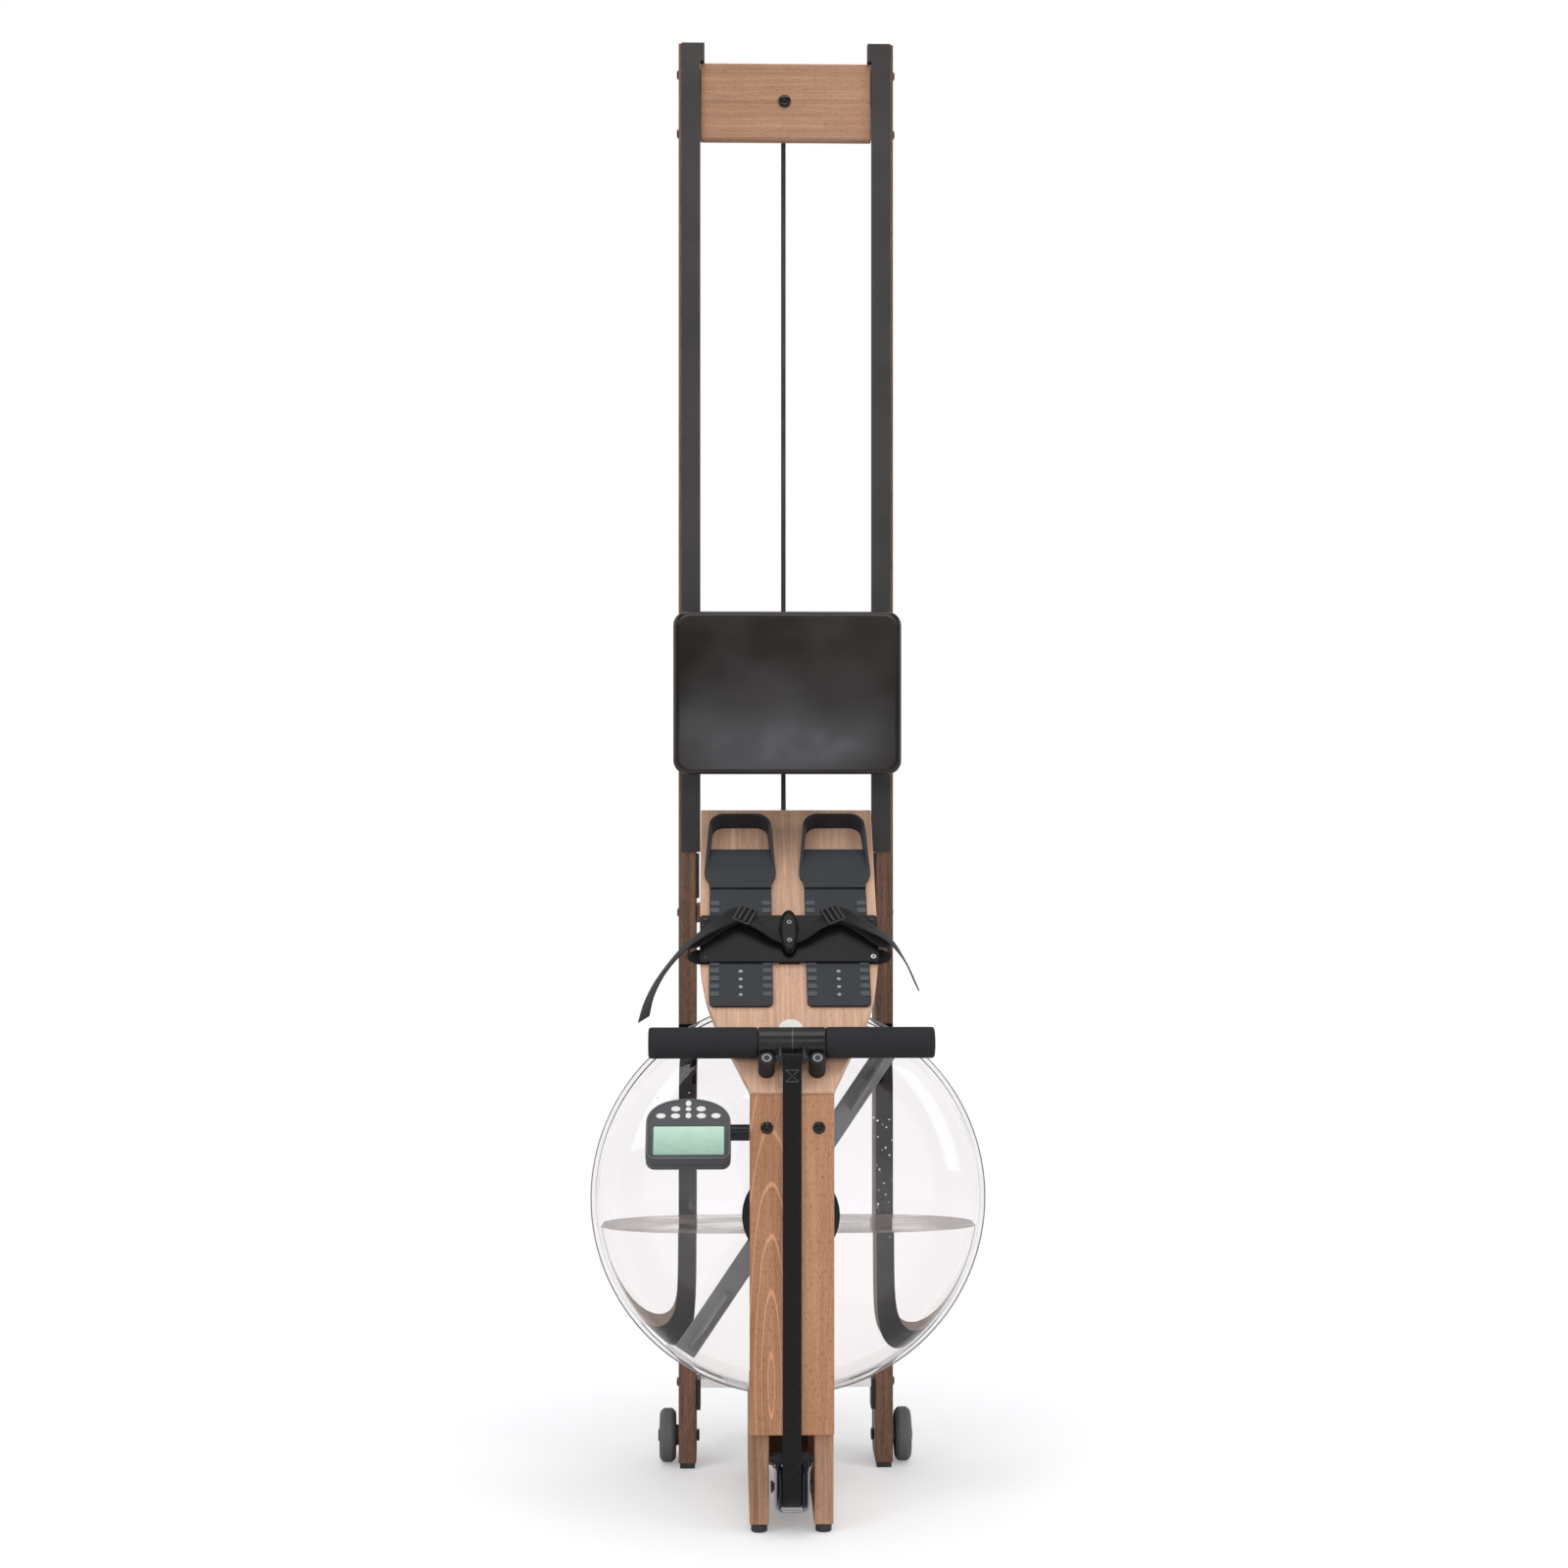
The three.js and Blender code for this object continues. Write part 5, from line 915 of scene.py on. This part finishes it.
PULLEY_DEEP, PIN_DEEP = -FRONT_PULLEY[1], -CLEVIS_PIN[1]
WRAP = chord(25.3, math.pi / 12) + WEB_THICK / 2
RUN_LOW, RUN_HIGH = 63.3, 638.7
run_stations = [((0, -PULLEY_DEEP - WRAP, RUN_LOW), (0, -1, 0))]
for k in range(1, 25):
    depth = PULLEY_DEEP + WRAP + (PIN_DEEP - PULLEY_DEEP - WRAP) * k / 24
    run_stations.append(((0, -depth, RUN_LOW + (RUN_HIGH - RUN_LOW) * k / 24), (0, -1, 0)))
run = settle("drive_strap_run", band(run_stations, 3), RAILS, WEBBING, "drive_strap", body="", crease=50)
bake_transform(run)

# The stitched loop that holds the strap on the clevis pin
LOOP_ROUND = 4.9
loop_stations = [((0, -331.9, 612), (0, 1, 0.0)), ((0, -331.6, 625), (0, 1, 0.0))]
for turn in range(-160, 161, 20):
    back, up = math.sin(math.radians(turn)), math.cos(math.radians(turn))
    loop_stations.append(((0, -PIN_DEEP - LOOP_ROUND * back, CLEVIS_PIN[2] + LOOP_ROUND * up),
                          (0, -back, up)))
loop_stations += [((0, -334.6, 625), (0, -1, 0)), ((0, -334.3, 612), (0, -1, 0))]
webbing("strap_loop", loop_stations, 3, body="handle", width=24.6, thickness=1.1)

# From the front pulley the strap turns a quarter on its way up, then winds on the drum
DRUM_TURN = math.radians(270)
DRUM_WRAP = chord(30.3, DRUM_TURN / 18) + WEB_THICK / 2
DRUM_MIDDLE = 254.75
stations = []
for k in range(25):
    turn = math.pi * k / 24
    stations.append(((0, -PULLEY_DEEP - WRAP * math.cos(turn), FRONT_PULLEY[2] - WRAP * math.sin(turn)),
                     (0, -math.cos(turn), -math.sin(turn))))
for k in range(1, 28):
    share = min(1.0, k / 28 / 0.8)
    share = share * share * (3 - 2 * share)
    lean = share * math.pi / 2
    back = PULLEY_DEEP - WRAP
    height = FRONT_PULLEY[2] + (TANK[2] - FRONT_PULLEY[2]) * (k / 28)
    at = (DRUM_WRAP * share, -(back + (DRUM_MIDDLE - back) * share), height)
    stations.append((at, (math.sin(lean), math.cos(lean), 0)))
for k in range(37):
    turn = DRUM_TURN * k / 36
    stations.append(((DRUM_WRAP * math.cos(turn), -DRUM_MIDDLE, TANK[2] + DRUM_WRAP * math.sin(turn)),
                     (math.cos(turn), 0, math.sin(turn))))
webbing("strap_to_drum", stations, 2, "strap_return")

# The cord winds on the drum, runs up behind the footboard, and turns back down over the rear pulley
CORD_STEP = math.radians(30)
cord_wrap, rear_wrap = chord(25.3, CORD_STEP), chord(22.3, CORD_STEP)
cord_x, rear_deep, rear_up = REAR_PULLEY[0], -REAR_PULLEY[1], REAR_PULLEY[2]
route = [(-cord_wrap * math.cos(CORD_STEP * s), 227, TANK[2] + cord_wrap * math.sin(CORD_STEP * s))
         for s in range(2, -7, -1)]
route += [(25, 227, 460), (24, 226, 510), (21, 222, 565), (17, 213, 620), (12, 198, 678), (7, 170, 732),
          (4, 128, 782), (2, 82, 828), (0, 34, 874), (-1.5, -6, 920), (-2.3, -25, 965), (-2.5, -32, 1015)]
route += [(cord_x, rear_deep + rear_wrap, z) for z in (1080, 1300, 1550, 1800, 1960)]
half_turn = [(rear_wrap * math.cos(CORD_STEP * s), rear_wrap * math.sin(CORD_STEP * s)) for s in range(7)]
route += [(cord_x, rear_deep + back, rear_up + up) for back, up in half_turn]
route += [(cord_x, rear_deep - rear_wrap, z) for z in (1960, 1700, 1400, 1100, 830.3)]
cord_line = spline([(x, -depth, z) for x, depth, z in route], 6)
settle("recoil_cord_round", tube(cord_line, 2.95, 14), RAILS, CORD_COVER, "recoil_cord")

WIRE_SHARES = ((1.227, 0, 1), (1.218, 0.356, 1), (1.136, 0.751, 0.992), (1.018, 0.97, 0.915), (1, 1, 0.763),
               (1, 1, 0.22), (0.932, 1, 0.085), (0.682, 1, 0.01), (0.364, 1, 0))
half_wire = [(22 * out, -(305.2 + forward * 30.3), 39 + up * 59) for out, forward, up in WIRE_SHARES]
wire_line = spline(half_wire + [(-x, y, z) for x, y, z in reversed(half_wire)], 8)
settle("wire_guard_round", tube(wire_line, 1.6, 16), RAILS, BRIGHT_WIRE, "wire_guard")


# Seat

SEAT_HALF_WIDE, SEAT_HALF_TALL, SEAT_FRONT, CROWN, HOLLOW = 164, 117, 90, 3, 0.9
SEAT_LIP = 5.0


def seat_front(x, z):
    """How far the face stands in front of the rails: crowned, with two faint hollows for the sit bones."""
    across, up = x / SEAT_HALF_WIDE, z / SEAT_HALF_TALL
    hollow = math.exp(-((abs(across) - 0.4) / 0.34) ** 2 - ((up - 0.15) / 0.55) ** 2)
    return SEAT_FRONT - CROWN * (across * across + up * up) / 2 - HOLLOW * hollow


def seat_levels():
    """The seat's outline from its underside, round its rolled edge, to the middle of its face."""
    edge = rounded_outline(SEAT_HALF_WIDE, SEAT_HALF_TALL, 20, 10, 22)
    for share, depth in (
            (0.86, 62.3), (0.955, 62.3), (0.972, 63.0), (0.978, 66.5), (0.983, 71.0), (0.985, 75.0)):
        yield [(x * share, -depth, z * share) for x, z in edge]
    rolled = [(2.0, 13.4), (0.7, 12.6), (0.0, 11.0), (0.0, 7.5)]
    for a in range(0, 91, 15):
        turn = math.radians(a)
        rolled.append((SEAT_LIP * (1 - math.cos(turn)), SEAT_LIP * (1 - math.sin(turn))))
    for inset, drop in rolled:
        wide, tall = 1 - inset / SEAT_HALF_WIDE, 1 - inset / SEAT_HALF_TALL
        yield [(x * wide, drop - seat_front(x * wide, z * tall), z * tall) for x, z in edge]
    for share in (0.94, 0.9, 0.86, 0.81, 0.75, 0.68, 0.6, 0.52, 0.44, 0.36, 0.28, 0.2, 0.12, 0.05):
        yield [(x * share, -seat_front(x * share, z * share), z * share) for x, z in edge]


seat_work = stack([[(x, y, z + SEAT_MIDDLE) for x, y, z in level] for level in seat_levels()], fan=True)
seat = settle("seat_cushion", seat_work, RAILS, SEAT_SKIN, "seat_pad", crease=60)


# Monitor

CASE_HALF_WIDE, CASE_HALF_TALL, CASE_CORNER, CASE_BACK = 56, 47, 12, -26.5
ARM_ROUND, ARM_BELOW, ARM_BEHIND = 11, 46, 12.7


def case_outline(inset=0.0, steps=20):
    """The case from the front: straight sides and bottom, and a top that is one smooth arch."""
    half_wide, half_tall, corner = CASE_HALF_WIDE - inset, CASE_HALF_TALL - inset, CASE_CORNER - inset
    points = [(half_wide - corner + corner * c, -half_tall + corner + corner * s)
              for c, s in ring_points(-90, 1, 9)]
    arch = ((half_wide, 10), (half_wide, half_tall * 0.75), (half_wide * 0.55, half_tall), (0, half_tall))
    for k in range(steps + 1):
        t = k / steps
        weights = ((1 - t) ** 3, 3 * t * (1 - t) ** 2, 3 * t * t * (1 - t), t ** 3)
        points.append(tuple(sum(c * p[i] for c, p in zip(weights, arch)) for i in (0, 1)))
    return points + [(-x, y) for x, y in reversed(points[:-1])]


# The arm's axis in the monitor's own frame
arm_axis = (0, ARM_BELOW * math.cos(MONITOR_TILT) - ARM_BEHIND * math.sin(MONITOR_TILT),
            -ARM_BELOW * math.sin(MONITOR_TILT) - ARM_BEHIND * math.cos(MONITOR_TILT))
case_levels = ((2.5, -29), (1.2, -28.4), (0.35, -27.4), (0, -26), (0, -2.6), (0.5, -1.5), (1.5, -0.5),
               (2.6, 0))
case_piece = loose("case body", stack([[(x, y, height) for x, y in case_outline(inset)]
                                       for inset, height in case_levels]))
lug = lathe([(0, 6), (16, 6), (16, 40), (0, 40)], "x", 64, arm_axis)
block((6, arm_axis[1] - 11.3, arm_axis[2]), (40, arm_axis[1] + 11.3, CASE_BACK), lug)
combine(case_piece, "UNION", [loose("lug", lug)], use_self=True)

# Each key's middle as a share of the case's half width and half height, and its own half height
KEYS = {"key_upper_left": (-0.3, 0.632, 3.9), "key_upper_right": (0.3, 0.632, 3.9),
        "key_outer_left": (-0.65, 0.402, 3.9), "key_inner_left": (-0.305, 0.4, 3.9),
        "key_inner_right": (0.305, 0.402, 3.9), "key_outer_right": (0.65, 0.402, 3.9),
        "key_up": (0, 0.813, 4.5), "key_enter": (0, 0.623, 3.0), "key_down": (0, 0.411, 4.3)}
KEY_GAP, SCREEN_MIDDLE = 0.3, (0.7, -18.3)


def screen_plate(half_wide, half_tall, corner, low, high):
    across, up = SCREEN_MIDDLE
    outline = [(x + across, y + up) for x, y in rounded_outline(half_wide, half_tall, corner, 4)]
    return prism(outline, low, high)


holes = [loose("arm bore", lathe([(0, 0), (11.3, 0), (11.3, 46), (0, 46)], "x", 64, arm_axis)),
         loose("screen pocket", screen_plate(47.0, 22.0, 2.0, -2.4, 3))]
for name, (out, up, tall) in KEYS.items():
    wide = 3.9 if out == 0 else 6.2
    x, y = out * CASE_HALF_WIDE, up * CASE_HALF_TALL
    holes.append(loose("key pocket", prism(oval(x, y, wide + KEY_GAP, tall + KEY_GAP), -3.8, 3)))
    cap = stack([[(a, b, height) for a, b in oval(x, y, wide * share, tall * share)]
                 for share, height in ((1, -2.4), (1, 0.35), (0.96, 0.7), (0.86, 0.86), (0.6, 0.9))])
    settle(name + "_cap_round", cap, MONITOR, KEY_WHITE, name, crease=50)
combine(case_piece, "DIFFERENCE", holes)
case_mesh = case_piece.data
bpy.data.objects.remove(case_piece)
settle("monitor_case_shell", case_mesh, MONITOR, CASE_GREY, "monitor_case", crease=28)

# A light grey line where the face meets the sides, a painted highlight of that edge, and the joint between
# the case's two halves
for name, inset, height, radius, line_finish in (("monitor_edge_line", 1.9, -0.55, 0.42, HIGHLIGHT_GREY),
                                                 ("monitor_seam", 0.1, -15, 0.4, SATIN_BLACK)):
    ring = [Vector((x, y, height)) for x, y in case_outline(inset)]
    settle(name, tube(ring + ring[:1], radius, 8), MONITOR, line_finish, body="monitor", slot="satin_black")

glass_work = screen_plate(46.7, 21.7, 1.8, -2.1, -0.7)
glass_uv = glass_work.loops.layers.uv.new("face")
for face in glass_work.faces:
    for corner in face.loops:
        corner[glass_uv].uv = ((corner.vert.co.x + 46) / 93.4, (corner.vert.co.y + 40) / 43.4)
settle("monitor_glass", glass_work, MONITOR, SCREEN_GREEN, "monitor_screen", bevel=0.3)
turned("monitor_arm_bar", plain_rod(ARM_ROUND, -154.8, -56.8, 0.8), "x", SATIN_BLACK, "monitor_arm",
       (0, -316, 541.3), steps=64)


# Foot plates, straps and buckles

CROSSBAR_HALF, CROSSBAR_LOW, CROSSBAR_TALL, CROSSBAR_FACE, STRAP_RISE = 125, 212.7, 81.5, 7.6, 12.4
EYE_WAY = Vector((0, -0.6621, 0.7494))
HOLE_PITCH = 13.3


def strap_place(side, shares):
    """Shares of the crossbar's half width, of its height and of the strap's rise, as a place on the board."""
    across, up, out = shares
    return side * across * CROSSBAR_HALF, CROSSBAR_LOW + up * CROSSBAR_TALL, CROSSBAR_FACE + out * STRAP_RISE


def turned_band(side, path):
    """Band stations for [shares, turn]: at turn 0 the webbing lies flat, at 1 the eye sees its edge."""
    spots = [Vector(strap_place(side, shares)) for shares, _ in path]
    out = []
    for k, spot in enumerate(spots):
        along = spots[min(k + 1, len(spots) - 1)] - spots[max(k - 1, 0)]
        edge_on = EYE_WAY.cross(along).normalized() * side
        out.append((spot, Vector((0, 0, 1)).lerp(edge_on, path[k][1]).normalized()))
    return out


STRAP_OVER = (((0.06, 0.47, 0.5), 0.1), ((0.136, 0.50, 0.55), 0.3), ((0.30, 0.665, 0.72), 0.45),
              ((0.42, 0.80, 0.84), 0.2), ((0.52, 0.875, 0.84), 0), ((0.62, 0.85, 0.7), 0.2),
              ((0.72, 0.75, 0.5), 0.42), ((0.86, 0.60, 0.36), 0.42), ((0.96, 0.48, 0.3), 0.3))
LOOP_END = (((1.07, 0.34, 0.2), (0.6, 0, 0.8)), ((1.115, 0.24, -0.06), (1, 0, 0.1)),
            ((1.09, 0.18, -0.36), (0.7, 0, -0.7)), ((1.0, 0.15, -0.52), (0, 0, -1)),
            ((0.9, 0.15, -0.52), (0, 0, -1)))
# The free tails turn until the eye sees their edge
TAIL_START = (((0.42, 0.86, 1.0), 0), ((0.5, 0.91, 1.05), 0), ((0.6, 0.89, 1.08), 0.05))
LEFT_TAIL = (((0.71, 0.78, 1.02), 0.25), ((0.85, 0.63, 0.9), 0.5), ((0.984, 0.47, 0.84), 0.66),
             ((1.15, 0.24, 0.66), 0.76), ((1.318, -0.1, 0.52), 0.82), ((1.45, -0.45, 0.45), 0.78),
             ((1.55, -0.86, 0.45), 0.68), ((1.6, -1.26, 0.5), 0.6))
RIGHT_TAIL = (((0.72, 0.79, 1.0), 0.25), ((0.90, 0.61, 0.93), 0.5), ((1.10, 0.38, 0.8), 0.74),
              ((1.22, 0.10, 0.72), 0.88), ((1.31, -0.2, 0.68), 0.94), ((1.395, -0.62, 0.68), 0.93))

for side, name, tail in ((-1, "left", LEFT_TAIL), (1, "right", RIGHT_TAIL)):
    plate, strap = name + "_foot_plate", name + "_foot_strap"
    eased(plate, PLATE_BLACK, 0.9, 3, 32)
    # Small ribs in two columns near the plate's long edges, with the adjusting stops between them
    rib_places = [(side * x, 159 + HOLE_PITCH * k, 4.2) for x in (31, 104) for k in range(13)]
    copies(name + "_plate_ribs", facing(rib_places), RIB, 6.2, 0.9, BOARD, RIB_GREY, "plate_black", plate)
    copies(name + "_plate_stops", facing([(side * 68, 158.7 + HOLE_PITCH * k, 2.2) for k in range(4)]), SPOT,
           3.1, 1.4, BOARD, STOP_GREY, "plate_black", plate)
    stations = turned_band(side, STRAP_OVER) + [
        (strap_place(side, shares), (side * face[0], face[1], face[2])) for shares, face in LOOP_END]
    webbing(name + "_strap_over", stations, 8, strap, place=BOARD)
    webbing(name + "_strap_tail", turned_band(side, TAIL_START + tail), 8, strap, place=BOARD)
    # Ladder buckle: two side rails and four bars, the middle ones higher for the webbing to turn round
    buckle_place = BOARD @ Matrix.Translation((side * 62, 284.5, 19.2)) @ Matrix.Rotation(
        math.radians(side * 26), 4, "Z")
    buckle = bmesh.new()
    for y in (-13.6, 13.6):
        block((-13, y - 1.6, -3.4), (13, y + 1.6, 3.4), buckle)
    for x, z in ((-11.4, 1.4), (-4, 2.6), (4, 2.6), (11.4, 1.4)):
        block((x - 1.8, -13, z - 1.8), (x + 1.8, 13, z + 1.8), buckle)
    settle(name + "_buckle", buckle, buckle_place, SATIN_BLACK, strap, slot="satin_black", bevel=0.6)

# Clamp over both straps: a long oval with a domed back, and a thin bright line round its lower end, which is
# a painted highlight
CLAMP_MIDDLE, CLAMP_HALF_WIDE, CLAMP_HALF_TALL = 260, 14, 39
clamp_levels = []
for share, height in ((1, 8.0), (1, 11.0), (0.97, 13.2), (0.9, 15.0), (0.78, 16.3), (0.6, 17.0), (0.4, 17.3),
                      (0.2, 17.4)):
    tall = CLAMP_HALF_TALL - 14 * (1 - share)
    tip = 1 if share > 0.3 else 0.9
    clamp_levels.append([
        (CLAMP_HALF_WIDE * share * c, CLAMP_MIDDLE + tall * math.copysign(abs(s) ** 0.85, s) * tip, height)
        for c, s in ring_points(0, 360, 6)])
settle("strap_clamp_oval", stack(clamp_levels), BOARD, GLOSS_BLACK, "strap_clamp", crease=50)
highlight_rim_line = [Vector((12.6 * c, CLAMP_MIDDLE + 37.4 * s, 14.0)) for c, s in ring_points(-178, -1, 8)]
settle("clamp_line", tube(highlight_rim_line, 0.55, 8), BOARD, WASHER_STEEL, slot="bright_steel")


# Bolts, screws, washers, stitches and drops

copies("button_screws", [((-2, 4.9, 2014.5), (0, -1, 0), (1, 0, 0), 1.1)]
       + [((x, -327, 549), (0, -1, 0), (1, 0, 0), 1.0) for x in (-33.5, 36)],
       BUTTON_HEAD, 8.4, 3.6, RAILS, BOLT_BLACK, "dark_steel")
side_bolts = [((side * RAIL_OUTER, -depth, z), (side, 0, 0), (0, 0, 1), 1.0)
              for side in (-1, 1) for depth, z in ((-14, 2055), (-14, 1968), (-41, 817), (-16, 125))]
copies("side_bolts", side_bolts, BUTTON_HEAD, 6.5, 3.0, RAILS, STEEL_BLACK, "dark_steel")
for name, height, shape, radius, tall, finish, slot in (
        ("peg_washers", 32.3, WASHER_RING, 6.6, 1.0, DULL_STEEL, "bright_steel"),
        ("peg_screws", 32.6, BUTTON_HEAD, 4.4, 1.5, STEEL_BLACK, "dark_steel")):
    copies(name, facing([(side * PEG_OUT, PEG_UP, height) for side in (-1, 1)]), shape, radius, tall, BOARD,
           finish, slot)
copies("crossbar_screws", facing([(side * 117.5, y, CROSSBAR_FACE) for side in (-1, 1) for y in (220, 287)]),
       BUTTON_HEAD, 4.2, 1.8, BOARD, STEEL_BLACK, "dark_steel")
copies("clamp_screws", facing([(0.5, y, 17.0) for y in (243, 274.5)]), WASHER_RING, 3.6, 0.8, BOARD,
       DULL_STEEL, "bright_steel")
copies("crossbar_bright_screw", facing([(117.5, 220, 8.6)]), WASHER_RING, 4.0, 1.0, BOARD, WASHER_STEEL,
       "bright_steel")
disc_work = lathe(plain_rod(17, 0, 1.4, 0.5), "z", 64, (0, 101.5, 0))
settle("plain_disc", disc_work, BOARD, ROLLER_WHITE, slot="white_plastic")

# A square of stitches with a cross in it, on the strap's loop
stitches = []
for k in range(9):
    across, up = -8 + 2 * k, 626 - 1.75 * k
    for x, z in ((across, up), (-across, up), (across, 627), (across, 611.5)):
        stitches.append(((x, -335.35, z), (0, -1, 0), (1, 0, 0), 1.0))
copies("loop_stitches", stitches, STITCH, 0.75, 0.35, RAILS, THREAD, "webbing", "handle")

# Drops on the tank's front, in opaque white as a painted highlight: most before the right rail, some at the
# upper left, a few further right
edge, half = OUTER_DOME
drops = []
for k in range(34):
    a, b, c = (math.modf(math.sin(k * f) * 4375.85)[0] % 1 for f in (1.7, 2.9, 4.1))
    if k < 20:
        x, z = 121 + 22 * a, 420 + 125 * b
    elif k < 28:
        x, z = -190 + 90 * a, 470 + 110 * b
    else:
        x, z = 60 + 130 * a, 330 + 250 * b
    r = math.hypot(x, z - TANK[2])
    flatness = math.sqrt(1 - (r / edge) ** 4)
    slope = 2 * half * r ** 3 / edge ** 4 / flatness
    out = Vector((slope * x / r, -1, slope * (z - TANK[2]) / r))
    drops.append(((x, TANK[1] - half * flatness, z), out, (1, 0, 0), 0.5 + 0.8 * c * c))
copies("tank_drops", drops, DROP, 1.3, 0.7, RAILS, DROP_HIGHLIGHT_WHITE, "clear_tank")


# Camera, light and floor

camera_data = bpy.data.cameras.new("camera")
camera = placed("camera", camera_data)
camera.location = (-0.088, RAIL_FACE - 3.5, 1.008)
camera.rotation_euler = (math.radians(90), 0, math.radians(-1.393))
camera_data.sensor_width = 36
camera_data.lens = 54.585
bpy.context.scene.camera = camera
bpy.context.scene.view_settings.view_transform = "Standard"


def straight_rays(ray, tree):
    """1 for what the camera sees, also through clear plastic and water."""
    return figure(tree, "MAXIMUM", ray["Is Camera Ray"], ray["Is Transmission Ray"])


# The room is white behind the machine, and dimmer behind the camera, where the seat and the metal mirror it
ROOM_LIGHT, DIM_SIDE = 0.54, 0.16
world = bpy.data.worlds.new("pale room")
bpy.context.scene.world = world
world.use_nodes = True
sky = world.node_tree
ray = add(sky, "ShaderNodeLightPath").outputs
way = split(sky, add(sky, "ShaderNodeTexCoord").outputs["Generated"])
in_gloss = figure(sky, "MULTIPLY", ray["Is Glossy Ray"], spread(sky, way[1], -0.5, 0.45, DIM_SIDE, 1.0))
elsewhere = figure(sky, "MULTIPLY", figure(sky, "SUBTRACT", 1.0, ray["Is Glossy Ray"]), ROOM_LIGHT)
even = figure(sky, "ADD", elsewhere, in_gloss)
backdrop = sky.nodes["Background"].inputs
backdrop["Color"].default_value = (1, 1, 1, 1)
put(sky, backdrop["Strength"], figure(sky, "MAXIMUM", even, straight_rays(ray, sky)))


def lamp(name, place, target, size, power, shape="RECTANGLE", colour=(1, 1, 1)):
    data = bpy.data.lights.new(name, "AREA")
    data.shape = shape
    data.size, data.size_y = size
    data.energy = power
    data.color = colour
    lit = placed(name, data)
    lit.location = place
    lit.rotation_euler = (Vector(target) - Vector(place)).to_track_quat("-Z", "Y").to_euler()


lamp("top softbox", (0.0, -1.2, 4.2), (0, 0, 1.0), (3.0, 2.0), 44)
lamp("left softbox", (-2.6, -2.6, 2.0), (0, 0, 1.0), (1.2, 2.4), 26)
lamp("right softbox", (2.8, -1.6, 1.6), (0, 0, 0.9), (1.2, 2.4), 22)
lamp("front softbox", (0.25, -4.6, 2.55), (0, 0, 1.1), (2.2, 0.8), 22)
# A small cool card low in front, which the seat mirrors
lamp("low card", (0.04, -4.3, 1.03), (0, 0, 1.1), (1.0, 0.26), 4.2, "ELLIPSE", (0.82, 0.9, 1.0))

# The floor glows less near the machine, which paints a shadow round it, and fades into the white backdrop
# away from the machine
floor_finish, floor_tree, floor_shader = new_finish(
    "pale floor", Base_Color=(0.84, 0.85, 0.87, 1), Roughness=0.6, Specular_IOR_Level=0.1,
    Emission_Color=(1, 1, 1, 1))
reach = vector_figure(floor_tree, "DISTANCE", {0: own_place(floor_tree), 1: (0, -0.05, 0)})["Value"]
shaded_glow = figure(floor_tree, "ADD", spread(floor_tree, reach, 0.3, 1.0, 0.26, 0.42),
              spread(floor_tree, reach, 1.2, 6.0, 0.0, 0.14))
seen = straight_rays(add(floor_tree, "ShaderNodeLightPath").outputs, floor_tree)
put(floor_tree, floor_shader.inputs["Emission Strength"], figure(floor_tree, "MULTIPLY", seen, shaded_glow))
floor_work = bmesh.new()
floor_work.faces.new([floor_work.verts.new(p) for p in ((-6, -6, 0), (6, -6, 0), (6, 8, 0), (-6, 8, 0))])
floor_mesh = to_mesh(floor_work, "floor", outward=False)
floor_mesh.materials.append(floor_finish)
placed("floor", floor_mesh)

for shape in SMALL_SHAPES:
    bpy.data.objects.remove(shape)

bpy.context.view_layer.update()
